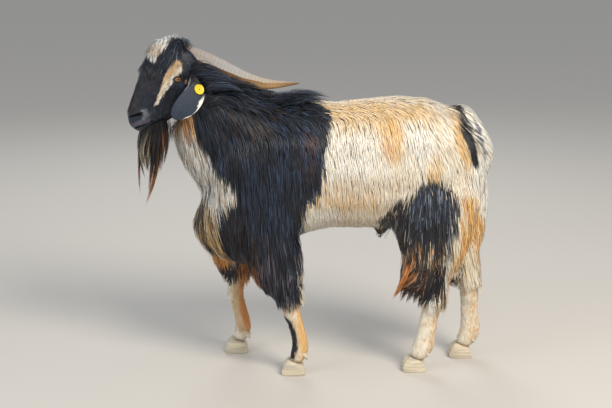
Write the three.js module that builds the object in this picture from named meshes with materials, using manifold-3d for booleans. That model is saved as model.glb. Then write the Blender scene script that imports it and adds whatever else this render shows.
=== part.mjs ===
// A long-haired billy goat, standing, as a still life-size model. Millimetres, +Z up.
// It faces -X, its left side is towards -Y, and its hooves stand on z = 0.
// The solids are the outer shape of the goat with its coat on. The flesh is lofted, joined into
// one body and parted again by thin cuts; horns, eyes, claws, ears, beard and tag are fitted in.
import * as THREE from 'three';
import { mergeVertices } from 'three/addons/utils/BufferGeometryUtils.js';
import Module from 'manifold-3d';

const wasm = await Module();
wasm.setup();

// ---- Driving dimensions ----

const gap = 0.3;                 // between any two pieces that meet
const sides = { left: -1, right: 1 };        // the sign of y on each side of the goat

const head = {
  poll: [-331, 0, 990],          // where the axis of the head starts, between the horns
  pitch: 47,                     // degrees that the axis points down
  yaw: 25,                       // degrees that the face turns to the goat's left
  roll: 6,                       // degrees that the left eye is carried higher
};
const eye = { along: 112, up: -8, out: 47, radius: 15 };
const earThickness = 8;
const tag = { along: 102, up: -70, out: 87, radius: 15, thickness: 3, stud: 3.5, back: 9 };

const forefeet = { left: { x: -38, y: -92 }, right: { x: -223, y: 112 } };
const hindfeet = { left: { x: 334, y: -62, lean: 30 }, right: { x: 492, y: 66, lean: -8 } };
const claws = { height: 38, width: 27, cleft: 4 };
const fetlock = 84;              // heights of the leg joints
const knee = 190;
const hock = 265;
const shankTop = { fore: 222, hind: 232 };   // where the legs are parted, at and above these
const limbTop = { fore: 410, hind: 470 };

const colour = {
  black: '#15171c', cream: '#d9c7a6', tan: '#c08a4a', slate: '#3a424c', horn: '#9c8f7c',
  hoof: '#4c4d50', eye: '#7a4a1c', tag: '#f2c500',
};

// ---- Solids ----

const vector = (x, y, z) => new THREE.Vector3(x, y, z);
const radians = THREE.MathUtils.degToRad;
const join = (...pieces) => pieces.reduce((whole, piece) => whole.add(piece));

function solid(geometry) {
  const bare = geometry.clone();
  bare.deleteAttribute('normal');
  bare.deleteAttribute('uv');
  const merged = mergeVertices(bare, 1e-3);
  return new wasm.Manifold(new wasm.Mesh({
    numProp: 3,
    vertProperties: new Float32Array(merged.attributes.position.array),
    triVerts: new Uint32Array(merged.index.array),
  }));
}

function geometryOf(manifold) {
  const { vertProperties, triVerts } = manifold.getMesh();
  const geometry = new THREE.BufferGeometry();
  geometry.setAttribute('position', new THREE.BufferAttribute(vertProperties, 3));
  geometry.setIndex(new THREE.BufferAttribute(triVerts, 1));
  return geometry;
}

// Stations are places along a limb, each with the same named sizes. This draws a smooth line
// through every size and reads it at `count` even places.
function spread(stations, count) {
  const at = (k) => stations[THREE.MathUtils.clamp(k, 0, stations.length - 1)];
  const rows = [];
  for (let i = 0; i < count; i++) {
    const t = (i / (count - 1)) * (stations.length - 1);
    const k = Math.min(Math.floor(t), stations.length - 2);
    const f = t - k;
    const row = {};
    for (const name of Object.keys(stations[0])) {
      const [a, b, c, d] = [at(k - 1)[name], at(k)[name], at(k + 1)[name], at(k + 2)[name]];
      const square = 2 * a - 5 * b + 4 * c - d;
      const cube = 3 * (b - c) + d - a;
      row[name] = b + 0.5 * f * (c - a + f * (square + f * cube));
    }
    rows.push(row);
  }
  return rows;
}

// A closed loft along a line of stations. `half` is the size to each side, `front` and `back`
// are the sizes across that: front is up where the line runs forward, and forward where it runs
// down. `square` is 2 for an ellipse and more for a fuller section.
function loft(stations, { points = 10, count = 6, across = vector(0, 1, 0), grow = 0 } = {}) {
  const least = 0.5;
  const rows = spread(stations, count);
  const centres = rows.map((row) => vector(row.x, row.y, row.z));
  const positions = [];
  rows.forEach((row, i) => {
    const along = centres[Math.min(i + 1, count - 1)].clone().sub(centres[Math.max(i - 1, 0)]);
    const side = across.clone().projectOnPlane(along.normalize()).normalize();
    const front = side.clone().cross(along);
    const round = (value) => Math.sign(value) * Math.abs(value) ** (2 / (row.square ?? 2));
    for (let j = 0; j < points; j++) {
      const angle = (2 * Math.PI * j) / points;
      const u = round(Math.cos(angle));
      const v = round(Math.sin(angle));
      const point = centres[i].clone();
      point.addScaledVector(side, u * (Math.max(row.half, least) + grow));
      point.addScaledVector(front, v * (Math.max(v > 0 ? row.front : row.back, least) + grow));
      positions.push(...point.toArray());
    }
  });
  for (const [end, inner] of [[0, 1], [count - 1, count - 2]]) {
    const outward = centres[end].clone().sub(centres[inner]).normalize();
    positions.push(...centres[end].clone().addScaledVector(outward, grow).toArray());
  }
  const index = [];
  for (let i = 0; i < count - 1; i++) {
    for (let j = 0; j < points; j++) {
      const a = i * points + j;
      const b = i * points + ((j + 1) % points);
      index.push(a, b + points, b, a, a + points, b + points);
    }
  }
  const hub = count * points;
  for (let j = 0; j < points; j++) {
    const next = (j + 1) % points;
    index.push(hub, j, next);
    index.push(hub + 1, hub - points + next, hub - points + j);
  }
  const geometry = new THREE.BufferGeometry();
  geometry.setAttribute('position', new THREE.Float32BufferAttribute(positions, 3));
  geometry.setIndex(index);
  return solid(geometry);
}

// A tapered lock of hair from its root to its tip.
function lock(root, tip, width, depth) {
  const stations = [1, 0.9, 0.5, 0.04].map((size, i) => {
    const place = root.clone().lerp(tip, i / 3);
    return { ...place, half: depth * size, front: width * size, back: width * size };
  });
  return loft(stations, { points: 5, count: 4 });
}

// A row of locks whose roots stand between two places and whose tips fall by `fall`, each to its
// own length.
function fringe(from, to, fall, { count = 3, width = 16, depth = 10 } = {}) {
  const locks = [];
  for (let i = 0; i < count; i++) {
    const root = vector(...from).lerp(vector(...to), i / (count - 1));
    const reach = 0.82 + 0.18 * Math.sin(2.4 * i + count);
    const tip = root.clone().addScaledVector(vector(...fall), reach);
    locks.push(lock(root, tip, width, depth));
  }
  return join(...locks);
}

// ---- The head's own axes: along the face, up over the forehead, out to the goat's left ----

const pitch = radians(head.pitch);
const yaw = radians(head.yaw);
const level = vector(-Math.cos(yaw), -Math.sin(yaw), 0);
const alongHead = level.clone().multiplyScalar(Math.cos(pitch)).add(vector(0, 0, -Math.sin(pitch)));
const outHead = vector(Math.sin(yaw), -Math.cos(yaw), 0).applyAxisAngle(alongHead, radians(head.roll));
const upHead = alongHead.clone().cross(outHead);
const rightHead = outHead.clone().negate();

function inHead(along, up, out) {
  const place = vector(...head.poll);
  return place.addScaledVector(alongHead, along).addScaledVector(upHead, up).addScaledVector(outHead, out);
}

// Stations given on the head's axes, moved to the model's. A right-hand piece mirrors the left.
function headStations(rows, side = sides.left) {
  return rows.map(({ along, up, out = 0, ...sizes }) => ({ ...inHead(along, up, -side * out), ...sizes }));
}

// ---- Flesh, in its coat ----

const skull = loft(headStations([
  { along: -8, up: 8, half: 30, front: 22, back: 8, square: 2 },
  { along: 10, up: 8, half: 48, front: 60, back: 26, square: 2.1 },
  { along: 27, up: 6, half: 58, front: 86, back: 34, square: 2.1 },
  { along: 50, up: 0, half: 68, front: 103, back: 74, square: 2.2 },
  { along: 80, up: -6, half: 66, front: 109, back: 104, square: 2.2 },
  { along: 120, up: -8, half: 60, front: 104, back: 94, square: 2.3 },
  { along: 165, up: -10, half: 47, front: 85, back: 80, square: 2.3 },
  { along: 210, up: -12, half: 38, front: 67, back: 68, square: 2.3 },
  { along: 250, up: -13, half: 34, front: 53, back: 58, square: 2.4 },
  { along: 280, up: -14, half: 30, front: 40, back: 44, square: 2.4 },
  { along: 302, up: -16, half: 16, front: 16, back: 20, square: 2.2 },
]), { points: 16, count: 15, across: rightHead });

const neck = loft([
  { x: -30, y: 0, z: 640, half: 142, front: 200, back: 230 },
  { x: -110, y: 0, z: 705, half: 136, front: 158, back: 265 },
  { x: -190, y: -2, z: 770, half: 118, front: 100, back: 250 },
  { x: -255, y: -6, z: 822, half: 95, front: 66, back: 218 },
  { x: -318, y: -12, z: 872, half: 66, front: 36, back: 165 },
], { points: 14, count: 7 });

const throat = loft([
  { x: -368, y: -14, z: 775, half: 28, front: 20, back: 24 },
  { x: -378, y: -14, z: 725, half: 36, front: 24, back: 34 },
  { x: -372, y: -12, z: 680, half: 28, front: 20, back: 32 },
  { x: -362, y: -10, z: 640, half: 8, front: 8, back: 10 },
], { points: 8, count: 5 });

const trunk = loft([
  { x: 528, y: 0, z: 560, half: 58, front: 36, back: 84 },
  { x: 502, y: 0, z: 588, half: 94, front: 52, back: 150 },
  { x: 468, y: 0, z: 625, half: 110, front: 110, back: 165 },
  { x: 420, y: 0, z: 640, half: 132, front: 172, back: 185 },
  { x: 330, y: 0, z: 640, half: 142, front: 206, back: 192 },
  { x: 200, y: 0, z: 630, half: 158, front: 208, back: 188 },
  { x: 60, y: 0, z: 630, half: 162, front: 198, back: 188 },
  { x: -60, y: 0, z: 630, half: 156, front: 222, back: 225 },
  { x: -160, y: 0, z: 600, half: 152, front: 215, back: 270 },
  { x: -230, y: 0, z: 545, half: 130, front: 165, back: 255 },
  { x: -282, y: 0, z: 530, half: 98, front: 125, back: 195 },
  { x: -322, y: 0, z: 540, half: 44, front: 65, back: 95 },
], { points: 14, count: 16 });

// The upper foreleg is a curtain of hair that hangs past the elbow to the knee.
function foreleg({ x, y }) {
  const inner = -Math.sign(y);
  const shift = x - forefeet.left.x;
  const curtain = loft([
    { x: -112 + 0.1 * shift, y: y + inner * 26, z: 630, half: 36, front: 60, back: 64 },
    { x: -110 + 0.2 * shift, y: y + inner * 14, z: 560, half: 52, front: 84, back: 84 },
    { x: -104 + 0.4 * shift, y: y + inner * 4, z: 460, half: 64, front: 112, back: 98 },
    { x: -90 + 0.7 * shift, y, z: 370, half: 58, front: 102, back: 74 },
    { x: -76 + 0.8 * shift, y, z: 305, half: 50, front: 88, back: 62 },
    { x: -62 + 0.94 * shift, y, z: 264, half: 38, front: 60, back: 46 },
    { x: -57 + shift, y, z: 238, half: 24, front: 38, back: 36 },
  ], { points: 12, count: 8 });
  const tips = fringe([-152 + 0.65 * shift, y, 305], [-92 + shift, y, 270], [10, 0, -43]);
  const shank = loft([
    { x: x - 4, y, z: 290, half: 28, front: 28, back: 30 },
    { x: x - 4, y, z: knee, half: 28, front: 27, back: 27 },
    { x: x + 10, y, z: 145, half: 23, front: 27, back: 30 },
    { x: x + 18, y, z: 112, half: 22, front: 28, back: 28 },
    { x: x + 22, y, z: fetlock, half: 26, front: 31, back: 33 },
    { x: x + 12, y, z: 56, half: 26, front: 27, back: 28 },
    { x: x + 4, y, z: 34, half: 24, front: 26, back: 26 },
  ], { points: 8, count: 8 });
  return join(curtain, tips, shank);
}

// The thigh carries long breeches, longest in front and behind, down to the hock.
function hindleg({ x, y, lean }) {
  const inner = -Math.sign(y);
  const shift = x - hindfeet.left.x;
  const slant = (z) => x + 30 + lean * (z - fetlock) / (hock - fetlock);
  const thigh = loft([
    { x: 412, y: y + inner * 20, z: 730, half: 36, front: 60, back: 40 },
    { x: 405 + 0.1 * shift, y: y + inner * 4, z: 640, half: 60, front: 116, back: 108 },
    { x: 390 + 0.2 * shift, y: y - inner * 6, z: 540, half: 72, front: 158, back: 142 },
    { x: 380 + 0.4 * shift, y: y - inner * 8, z: 455, half: 70, front: 140, back: 142 },
    { x: 374 + 0.5 * shift, y: y - inner * 6, z: 370, half: 59, front: 92, back: 110 },
    { x: 352 + 0.7 * shift, y, z: 300, half: 48, front: 74, back: 82 },
    { x: 330 + 0.9 * shift, y, z: 246, half: 26, front: 48, back: 50 },
  ], { points: 12, count: 8 });
  const tips = join(
    fringe([290 + 0.7 * shift, y, 290], [348 + 0.7 * shift, y, 280], [-32, 0, -46]),
    fringe([470 + 0.3 * shift, y, 340], [506 + 0.3 * shift, y, 430], [22, 0, -70], { count: 2 }),
  );
  const shank = loft([
    { x: slant(330), y, z: 330, half: 30, front: 30, back: 34 },
    { x: slant(hock), y, z: hock, half: 27, front: 34, back: 36 },
    { x: slant(215), y, z: 215, half: 24, front: 34, back: 34 },
    { x: slant(150), y, z: 150, half: 22, front: 35, back: 34 },
    { x: slant(112), y, z: 112, half: 23, front: 36, back: 37 },
    { x: slant(fetlock), y, z: fetlock, half: 26, front: 38, back: 40 },
    { x: x + 14, y, z: 56, half: 26, front: 34, back: 34 },
    { x: x + 4, y, z: 34, half: 24, front: 27, back: 28 },
  ], { points: 8, count: 9 });
  return join(thigh, tips, shank);
}

// ---- Pieces fitted into the flesh, each drawn `grow` larger where it cuts its own seat ----

const tail = (grow) => loft([
  { x: 430, y: 0, z: 800, half: 22, front: 18, back: 16 },
  { x: 466, y: 0, z: 804, half: 28, front: 18, back: 17 },
  { x: 496, y: -4, z: 774, half: 36, front: 28, back: 21 },
  { x: 522, y: -6, z: 728, half: 40, front: 30, back: 25 },
  { x: 541, y: -6, z: 680, half: 34, front: 26, back: 27 },
  { x: 549, y: -4, z: 636, half: 18, front: 14, back: 18 },
  { x: 552, y: -2, z: 604, half: 4, front: 4, back: 5 },
], { points: 10, count: 9, grow });

const sheath = (grow) => loft([
  { x: 262, y: 0, z: 474, half: 22, front: 24, back: 28 },
  { x: 232, y: 0, z: 436, half: 21, front: 20, back: 26 },
  { x: 208, y: 0, z: 408, half: 10, front: 10, back: 12 },
], { points: 8, count: 4, grow });

const scrotum = (grow) => loft([
  { x: 432, y: 0, z: 500, half: 30, front: 34, back: 34 },
  { x: 434, y: 0, z: 400, half: 40, front: 42, back: 42 },
  { x: 436, y: 0, z: 340, half: 42, front: 44, back: 44 },
  { x: 438, y: 0, z: 300, half: 24, front: 24, back: 24 },
], { points: 10, count: 6, grow });

const hornShape = (side, grow) => loft(headStations([
  { along: 45, up: 25, out: 16, half: 14, front: 31, back: 31 },
  { along: 24, up: -28, out: 28, half: 15, front: 31, back: 31 },
  { along: 4, up: -95, out: 49, half: 14, front: 30, back: 30 },
  { along: -13, up: -156, out: 68, half: 12, front: 25, back: 25 },
  { along: -43, up: -215, out: 89, half: 9, front: 17, back: 17 },
  { along: -75, up: -251, out: 105, half: 6, front: 10, back: 10 },
  { along: -110, up: -286, out: 121, half: 1.5, front: 2, back: 2 },
], side), { points: 10, count: 11, across: rightHead, grow });

const earShape = (side, grow) => loft(headStations([
  { along: 66, up: -30, out: 46, half: 12, front: 11, back: 11 },
  { along: 84, up: -48, out: 72, half: 18, front: 8, back: 8 },
  { along: 106, up: -66, out: 88, half: 32, front: 5, back: 5 },
  { along: 136, up: -72, out: 95, half: 37, front: 4, back: 4 },
  { along: 170, up: -69, out: 97, half: 34, front: 4, back: 4 },
  { along: 198, up: -64, out: 96, half: 24, front: 3.5, back: 3.5 },
  { along: 213, up: -61, out: 94, half: 8, front: 2, back: 2 },
], side), { points: 10, count: 9, across: upHead, grow });

const eyeBall = (side, grow) => {
  const ball = new THREE.SphereGeometry(eye.radius + grow, 10, 8);
  return solid(ball.rotateX(radians(90)).translate(...inHead(eye.along, eye.up, -side * eye.out)));
};

const beard = (grow) => join(
  loft([
    { x: -445, y: -72, z: 775, half: 20, front: 26, back: 26 },
    { x: -448, y: -74, z: 735, half: 26, front: 38, back: 36 },
    { x: -452, y: -75, z: 680, half: 26, front: 42, back: 38 },
    { x: -460, y: -76, z: 630, half: 22, front: 28, back: 32 },
    { x: -472, y: -76, z: 590, half: 14, front: 16, back: 20 },
    { x: -478, y: -76, z: 560, half: 6, front: 7, back: 9 },
  ], { points: 8, count: 6, grow }),
  fringe([-478, -76, 640], [-436, -74, 690], [-8, 0, -112], { width: 11 + grow, depth: 9 + grow }),
  lock(vector(-470, -76, 600), vector(-485, -74, 514), 11 + grow, 8 + grow),
);

// One claw of a cloven hoof, with a sloping toe. It is drawn into the ground and cut flat there.
const ground = solid(new THREE.BoxGeometry(3000, 1000, 200).translate(0, 0, -100));
const claw = ({ x, y }, side, grow) => loft([
  { x: x - 3, z: -12, half: claws.width / 2, front: 40, back: 34 },
  { x: x - 3, z: 8, half: claws.width / 2, front: 40, back: 35 },
  { x: x + 1, z: 24, half: claws.width / 2, front: 35, back: 33 },
  { x: x + 6, z: claws.height, half: claws.width / 2 - 2, front: 27, back: 26 },
].map((row) => ({ ...row, y: y + side * (claws.width + claws.cleft) / 2, square: 2.5 })),
{ points: 10, count: 4, grow }).subtract(ground);

// One of the two small claws behind the fetlock.
const dewclaw = ({ x, y }, side, grow) => loft([
  { x: x + 26, y: y + side * 11, z: 70, half: 9, front: 10, back: 9 },
  { x: x + 36, y: y + side * 13, z: 60, half: 8, front: 9, back: 8 },
  { x: x + 44, y: y + side * 14, z: 49, half: 4, front: 4, back: 4 },
], { points: 6, count: 3, grow });

// A round button on the left ear: the face, the stud through the ear and a small disc behind it.
function tagShape(grow) {
  const reach = earThickness / 2 + 1.5;
  const face = tag.radius + grow;
  const stud = tag.stud + grow;
  const back = tag.back + grow;
  const profile = [
    [0, -reach - 2 - grow], [back, -reach - 2 - grow], [back, -reach + grow], [stud, -reach + grow],
    [stud, reach - grow], [face, reach - grow], [face, reach + tag.thickness / 2],
    [face - 2, reach + tag.thickness + grow], [0, reach + tag.thickness + grow],
  ];
  const turned = new THREE.LatheGeometry(profile.map(([r, h]) => new THREE.Vector2(r, h)), 10);
  const facing = outHead.clone().addScaledVector(alongHead, -0.4).normalize();
  turned.applyQuaternion(new THREE.Quaternion().setFromUnitVectors(vector(0, 1, 0), facing));
  return solid(turned.translate(...inHead(tag.along, tag.up, tag.out)));
}

// ---- Assembly ----

const group = new THREE.Group();

function add(name, shape, tint, roughness = 0.9) {
  const material = new THREE.MeshStandardMaterial({ color: tint, roughness, metalness: 0 });
  const mesh = new THREE.Mesh(geometryOf(shape), material);
  mesh.name = name;
  group.add(mesh);
}

let flesh = join(skull, neck, throat, trunk);
for (const name of Object.keys(sides)) {
  flesh = join(flesh, foreleg(forefeet[name]), hindleg(hindfeet[name]));
}

// Puts a piece in and cuts its seat out of the flesh, a gap larger.
function fit(name, shape, tint, roughness) {
  add(name, shape(0), tint, roughness);
  flesh = flesh.subtract(shape(gap));
}

for (const [name, side] of Object.entries(sides)) {
  fit(`horn_${name}`, (grow) => hornShape(side, grow), colour.horn, 0.5);
  fit(`eye_${name}`, (grow) => eyeBall(side, grow), colour.eye, 0.1);
  for (const [leg, feet] of [['fore', forefeet[name]], ['hind', hindfeet[name]]]) {
    for (const [place, at] of [['outer', side], ['inner', -side]]) {
      fit(`claw_${leg}_${name}_${place}`, (grow) => claw(feet, at, grow), colour.hoof, 0.6);
      fit(`dewclaw_${leg}_${name}_${place}`, (grow) => dewclaw(feet, at, grow), colour.hoof, 0.6);
    }
  }
}
fit('ear_left', (grow) => earShape(sides.left, grow).subtract(tagShape(gap)), colour.slate);
fit('ear_right', (grow) => earShape(sides.right, grow), colour.slate);
fit('ear_tag', tagShape, colour.tag, 0.4);
fit('beard', beard, colour.tan);
fit('tail', tail, colour.cream);
fit('sheath', sheath, colour.black);
fit('scrotum', scrotum, colour.black);

// The rest of the flesh is parted by boxes, one after another.
function part(name, tint, centre, size, turn = 0) {
  const box = (grow) => solid(new THREE.BoxGeometry(...size.map((length) => length + 2 * grow))
    .rotateY(radians(turn)).translate(...centre));
  add(name, flesh.intersect(box(0)), tint);
  flesh = flesh.subtract(box(gap));
}

function partBetween(name, tint, low, high) {
  const centre = low.map((value, i) => (value + high[i]) / 2);
  part(name, tint, centre, low.map((value, i) => high[i] - value));
}

for (const [name, side] of Object.entries(sides)) {
  const [near, far] = side < 0 ? [-300, -gap / 2] : [gap / 2, 300];
  const chest = side < 0 ? -190 : -330;
  partBetween(`shank_fore_${name}`, colour.tan, [-330, near, -10], [120, far, shankTop.fore]);
  partBetween(`upper_fore_${name}`, colour.black, [chest, near, 0], [120, far, limbTop.fore]);
  partBetween(`shank_hind_${name}`, colour.cream, [200, near, -10], [640, far, shankTop.hind]);
  partBetween(`thigh_${name}`, colour.tan, [215, near, 0], [640, far, limbTop.hind]);
}
part('head', colour.black, [-516, 0, 935], [340, 400, 440], 32);
part('neck', colour.black, [-300, 0, 870], [420, 420, 620], 35);
add('trunk', flesh, colour.cream);

// The middle of the goat's outline stands over the origin.
const middle = new THREE.Box3().setFromObject(group).getCenter(vector());
group.position.set(-middle.x, -middle.y, 0);

export default group;
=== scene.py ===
import math

import bpy
import numpy as np
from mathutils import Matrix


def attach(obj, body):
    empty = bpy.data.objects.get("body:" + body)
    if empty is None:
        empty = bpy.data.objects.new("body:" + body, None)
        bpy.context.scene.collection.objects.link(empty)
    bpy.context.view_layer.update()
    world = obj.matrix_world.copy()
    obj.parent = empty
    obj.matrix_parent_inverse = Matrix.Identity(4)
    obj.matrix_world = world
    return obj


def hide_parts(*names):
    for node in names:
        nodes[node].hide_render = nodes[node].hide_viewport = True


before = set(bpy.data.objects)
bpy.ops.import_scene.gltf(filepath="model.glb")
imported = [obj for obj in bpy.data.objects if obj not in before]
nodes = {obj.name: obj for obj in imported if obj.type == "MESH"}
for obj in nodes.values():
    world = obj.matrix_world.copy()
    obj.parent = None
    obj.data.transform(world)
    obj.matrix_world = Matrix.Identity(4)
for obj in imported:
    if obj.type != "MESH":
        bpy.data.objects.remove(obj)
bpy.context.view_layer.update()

import openvdb
from mathutils import Vector
from mathutils.kdtree import KDTree

bpy.ops.object.select_all(action="DESELECT")
print("frame loaded,", len(nodes), "nodes")


# small helpers

def only(piece):                          # selects one object and makes it active
    bpy.ops.object.select_all(action="DESELECT")
    piece.select_set(True)
    bpy.context.view_layer.objects.active = piece


def applyModifier(piece, kind, **settings):
    only(piece)
    modifier = piece.modifiers.new(kind.title(), kind)
    for key, value in settings.items():
        setattr(modifier, key, value)
    bpy.ops.object.modifier_apply(modifier=modifier.name)


def copyOf(name, newName):                # a merged copy of a CAD node, free to be reshaped
    piece = bpy.data.objects.new(newName, nodes[name].data.copy())
    bpy.context.scene.collection.objects.link(piece)
    piece.data.name = newName
    piece.data.materials.clear()
    only(piece)
    bpy.ops.object.mode_set(mode="EDIT")
    bpy.ops.mesh.select_all(action="SELECT")
    bpy.ops.mesh.remove_doubles(threshold=0.00002)
    bpy.ops.object.mode_set(mode="OBJECT")
    return piece


def newPiece(name, points, faces):        # a mesh from arrays, for organic forms
    mesh = bpy.data.meshes.new(name)
    mesh.from_pydata(points, [], faces)
    mesh.update()
    piece = bpy.data.objects.new(name, mesh)
    bpy.context.scene.collection.objects.link(piece)
    return piece


def pointsOf(piece):
    flat = np.empty(len(piece.data.vertices) * 3, np.float32)
    piece.data.vertices.foreach_get("co", flat)
    return flat.reshape(-1, 3).astype(float)


def setPoints(piece, points):
    piece.data.vertices.foreach_set("co", points.astype(np.float32).ravel())
    piece.data.update()


def trianglesOf(piece):
    piece.data.calc_loop_triangles()
    flat = np.empty(len(piece.data.loop_triangles) * 3, np.int32)
    piece.data.loop_triangles.foreach_get("vertices", flat)
    return flat.reshape(-1, 3)


def normalsOf(piece):
    flat = np.empty(len(piece.data.vertices) * 3, np.float32)
    piece.data.vertex_normals.foreach_get("vector", flat)
    return flat.reshape(-1, 3).astype(float)


def unit(vectors):
    return vectors / np.maximum(np.linalg.norm(vectors, axis=-1, keepdims=True), 1e-9)


def ramp(value, low, high):               # 0 at low, 1 at high, smooth between
    t = np.clip((value - low) / (high - low), 0, 1)
    return t * t * (3 - 2 * t)


def spot(u, v, centre, size, turn=0.0, edge=0.3):     # 1 in an ellipse, fading out at its edge
    c, s = math.cos(math.radians(turn)), math.sin(math.radians(turn))
    du, dv = u - centre[0], v - centre[1]
    return 1 - ramp(np.hypot((c * du + s * dv) / size[0], (c * dv - s * du) / size[1]), 1 - edge, 1 + edge)


def band(u, v, path, edge=0.3):           # 1 along a line of (u, v, half width), fading out at its edge
    best = np.full(np.shape(u), 9.0)
    for (u0, v0, w0), (u1, v1, w1) in zip(path, path[1:]):
        du, dv = u1 - u0, v1 - v0
        t = np.clip(((u - u0) * du + (v - v0) * dv) / (du * du + dv * dv), 0, 1)
        best = np.minimum(best, np.hypot(u - u0 - t * du, v - v0 - t * dv) / (w0 + t * (w1 - w0)))
    return 1 - ramp(best, 1 - edge, 1 + edge)


def region(u, v, outline, edge=0.008):     # 1 inside an outline, fading out across its edge
    outline = np.array(outline)
    best, inside = np.full(np.shape(u), 9.0), np.zeros(np.shape(u), bool)
    for (u0, v0), (u1, v1) in zip(outline, np.roll(outline, -1, 0)):
        du, dv = u1 - u0, v1 - v0
        t = np.clip(((u - u0) * du + (v - v0) * dv) / (du * du + dv * dv), 0, 1)
        best = np.minimum(best, np.hypot(u - u0 - t * du, v - v0 - t * dv))
        if dv != 0:
            inside ^= ((v0 > v) != (v1 > v)) & (u < u0 + (v - v0) * du / dv)
    return ramp(np.where(inside, best, -best), -edge, edge)


def wobble(points, size, seed):           # smooth noise from a few sine waves, about -1 to 1
    dice = np.random.default_rng(seed)
    total = 0
    for k in range(6):
        wave = dice.normal(size=3)
        wave *= (0.7 + 0.25 * k) * 2 * math.pi / size / np.linalg.norm(wave)
        total = total + np.sin(points @ wave + dice.uniform(0, 6.28)) / (1 + 0.25 * k)
    return total / 3


def srgb(r, g, b):                        # a colour as a painter reads it, made linear
    c = np.array([r, g, b]) / 255
    return np.where(c < 0.04045, c / 12.92, ((c + 0.055) / 1.055) ** 2.4)


# the head's own axes

headSettings = {"poll": (-0.3567, -0.0223, 0.990), "pitch": 47, "yaw": 25, "roll": 6}


def headAxes():                           # rows: along the face, up over the brow, out to the left
    pitch, yaw, roll = (math.radians(headSettings[key]) for key in ("pitch", "yaw", "roll"))
    level = np.array([-math.cos(yaw), -math.sin(yaw), 0])
    along = level * math.cos(pitch) - np.array([0, 0, math.sin(pitch)])
    flat = np.array([math.sin(yaw), -math.cos(yaw), 0])
    out = flat * math.cos(roll) + np.cross(along, flat) * math.sin(roll)
    return np.array([along, np.cross(along, out), out])


headFrame = headAxes()
poll = np.array(headSettings["poll"])


def toHead(points):
    return (points - poll) @ headFrame.T


def fromHead(places):
    return poll + np.asarray(places) @ headFrame


def headMask(h):                          # 1 on the head, 0 on the neck
    jaw = -0.118 + 0.18 * np.clip(h[:, 0] - 0.08, 0, 1)
    return ramp(h[:, 0], 0.0, 0.03) * ramp(h[:, 1], jaw - 0.01, jaw + 0.01)


# distance fields

fieldSettings = {"voxel": 0.0055, "reach": 0.07}


class Field:                              # a grid of distances to a surface, below zero inside
    def __init__(self, values, low):
        self.values, self.low, self.voxel = values, low, fieldSettings["voxel"]

    @classmethod
    def around(cls, points, triangles):
        voxel, reach = fieldSettings["voxel"], fieldSettings["reach"]
        grid = openvdb.FloatGrid.createLevelSetFromPolygons(
            points.astype(np.float32), triangles=triangles.astype(np.uint32),
            transform=openvdb.createLinearTransform(voxelSize=voxel), halfWidth=reach / voxel)
        low = np.floor((points.min(0) - reach) / voxel).astype(int)
        high = np.ceil((points.max(0) + reach) / voxel).astype(int)
        values = np.empty(high - low, np.float32)
        grid.copyToArray(values, ijk=tuple(int(v) for v in low))
        return cls(values, low)

    def places(self):                     # x, y and z of the grid, ready to broadcast
        return [((np.arange(n) + low) * self.voxel).reshape([-1 if k == axis else 1 for k in range(3)])
                for axis, (n, low) in enumerate(zip(self.values.shape, self.low))]

    def soften(self, rounds):
        for _ in range(rounds):
            for axis in range(3):
                v = self.values
                self.values = 0.5 * v + 0.25 * (np.roll(v, 1, axis) + np.roll(v, -1, axis))

    def surface(self, level=0.0):
        grid = openvdb.FloatGrid(float(self.values.max()))
        grid.copyFromArray(np.ascontiguousarray(self.values, np.float32), ijk=tuple(int(v) for v in self.low))
        grid.transform = openvdb.createLinearTransform(voxelSize=self.voxel)
        return grid.convertToQuads(level)

    def at(self, points):                 # distances, and the way out of the surface
        if not hasattr(self, "slopes"):
            self.slopes = [np.gradient(self.values, axis=k).astype(np.float32) for k in range(3)]
        cell = points / self.voxel - self.low
        cell = np.clip(cell, 0, np.array(self.values.shape) - 1.001)
        base = cell.astype(int)
        part = cell - base
        found = np.zeros((4, len(points)))
        for corner in range(8):
            step = np.array([corner >> 2 & 1, corner >> 1 & 1, corner & 1])
            weight = np.prod(np.where(step, part, 1 - part), axis=1)
            i, j, k = (base + step).T
            for row, grid in enumerate([self.values, *self.slopes]):
                found[row] += weight * grid[i, j, k]
        return found[0], unit(found[1:].T)


# how deep and how long the coat is

depthSettings = {"trunk": 0.007, "neck": 0.022, "limb": 0.022, "face": -0.0010,
                 "brow": 0.014, "shank": 0.002, "tail": 0.010, "purse": 0.003}
legCores = [                              # start, end, radius: the bone and skin inside each curtain of hair
    ((-0.068, -0.114, 0.19), (-0.080, -0.112, 0.40), 0.027),
    ((-0.253, 0.090, 0.19), (-0.230, 0.090, 0.40), 0.027),
    ((0.360, -0.084, 0.20), (0.372, -0.084, 0.34), 0.029),
    ((0.490, 0.044, 0.20), (0.470, 0.044, 0.36), 0.029),
]


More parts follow.
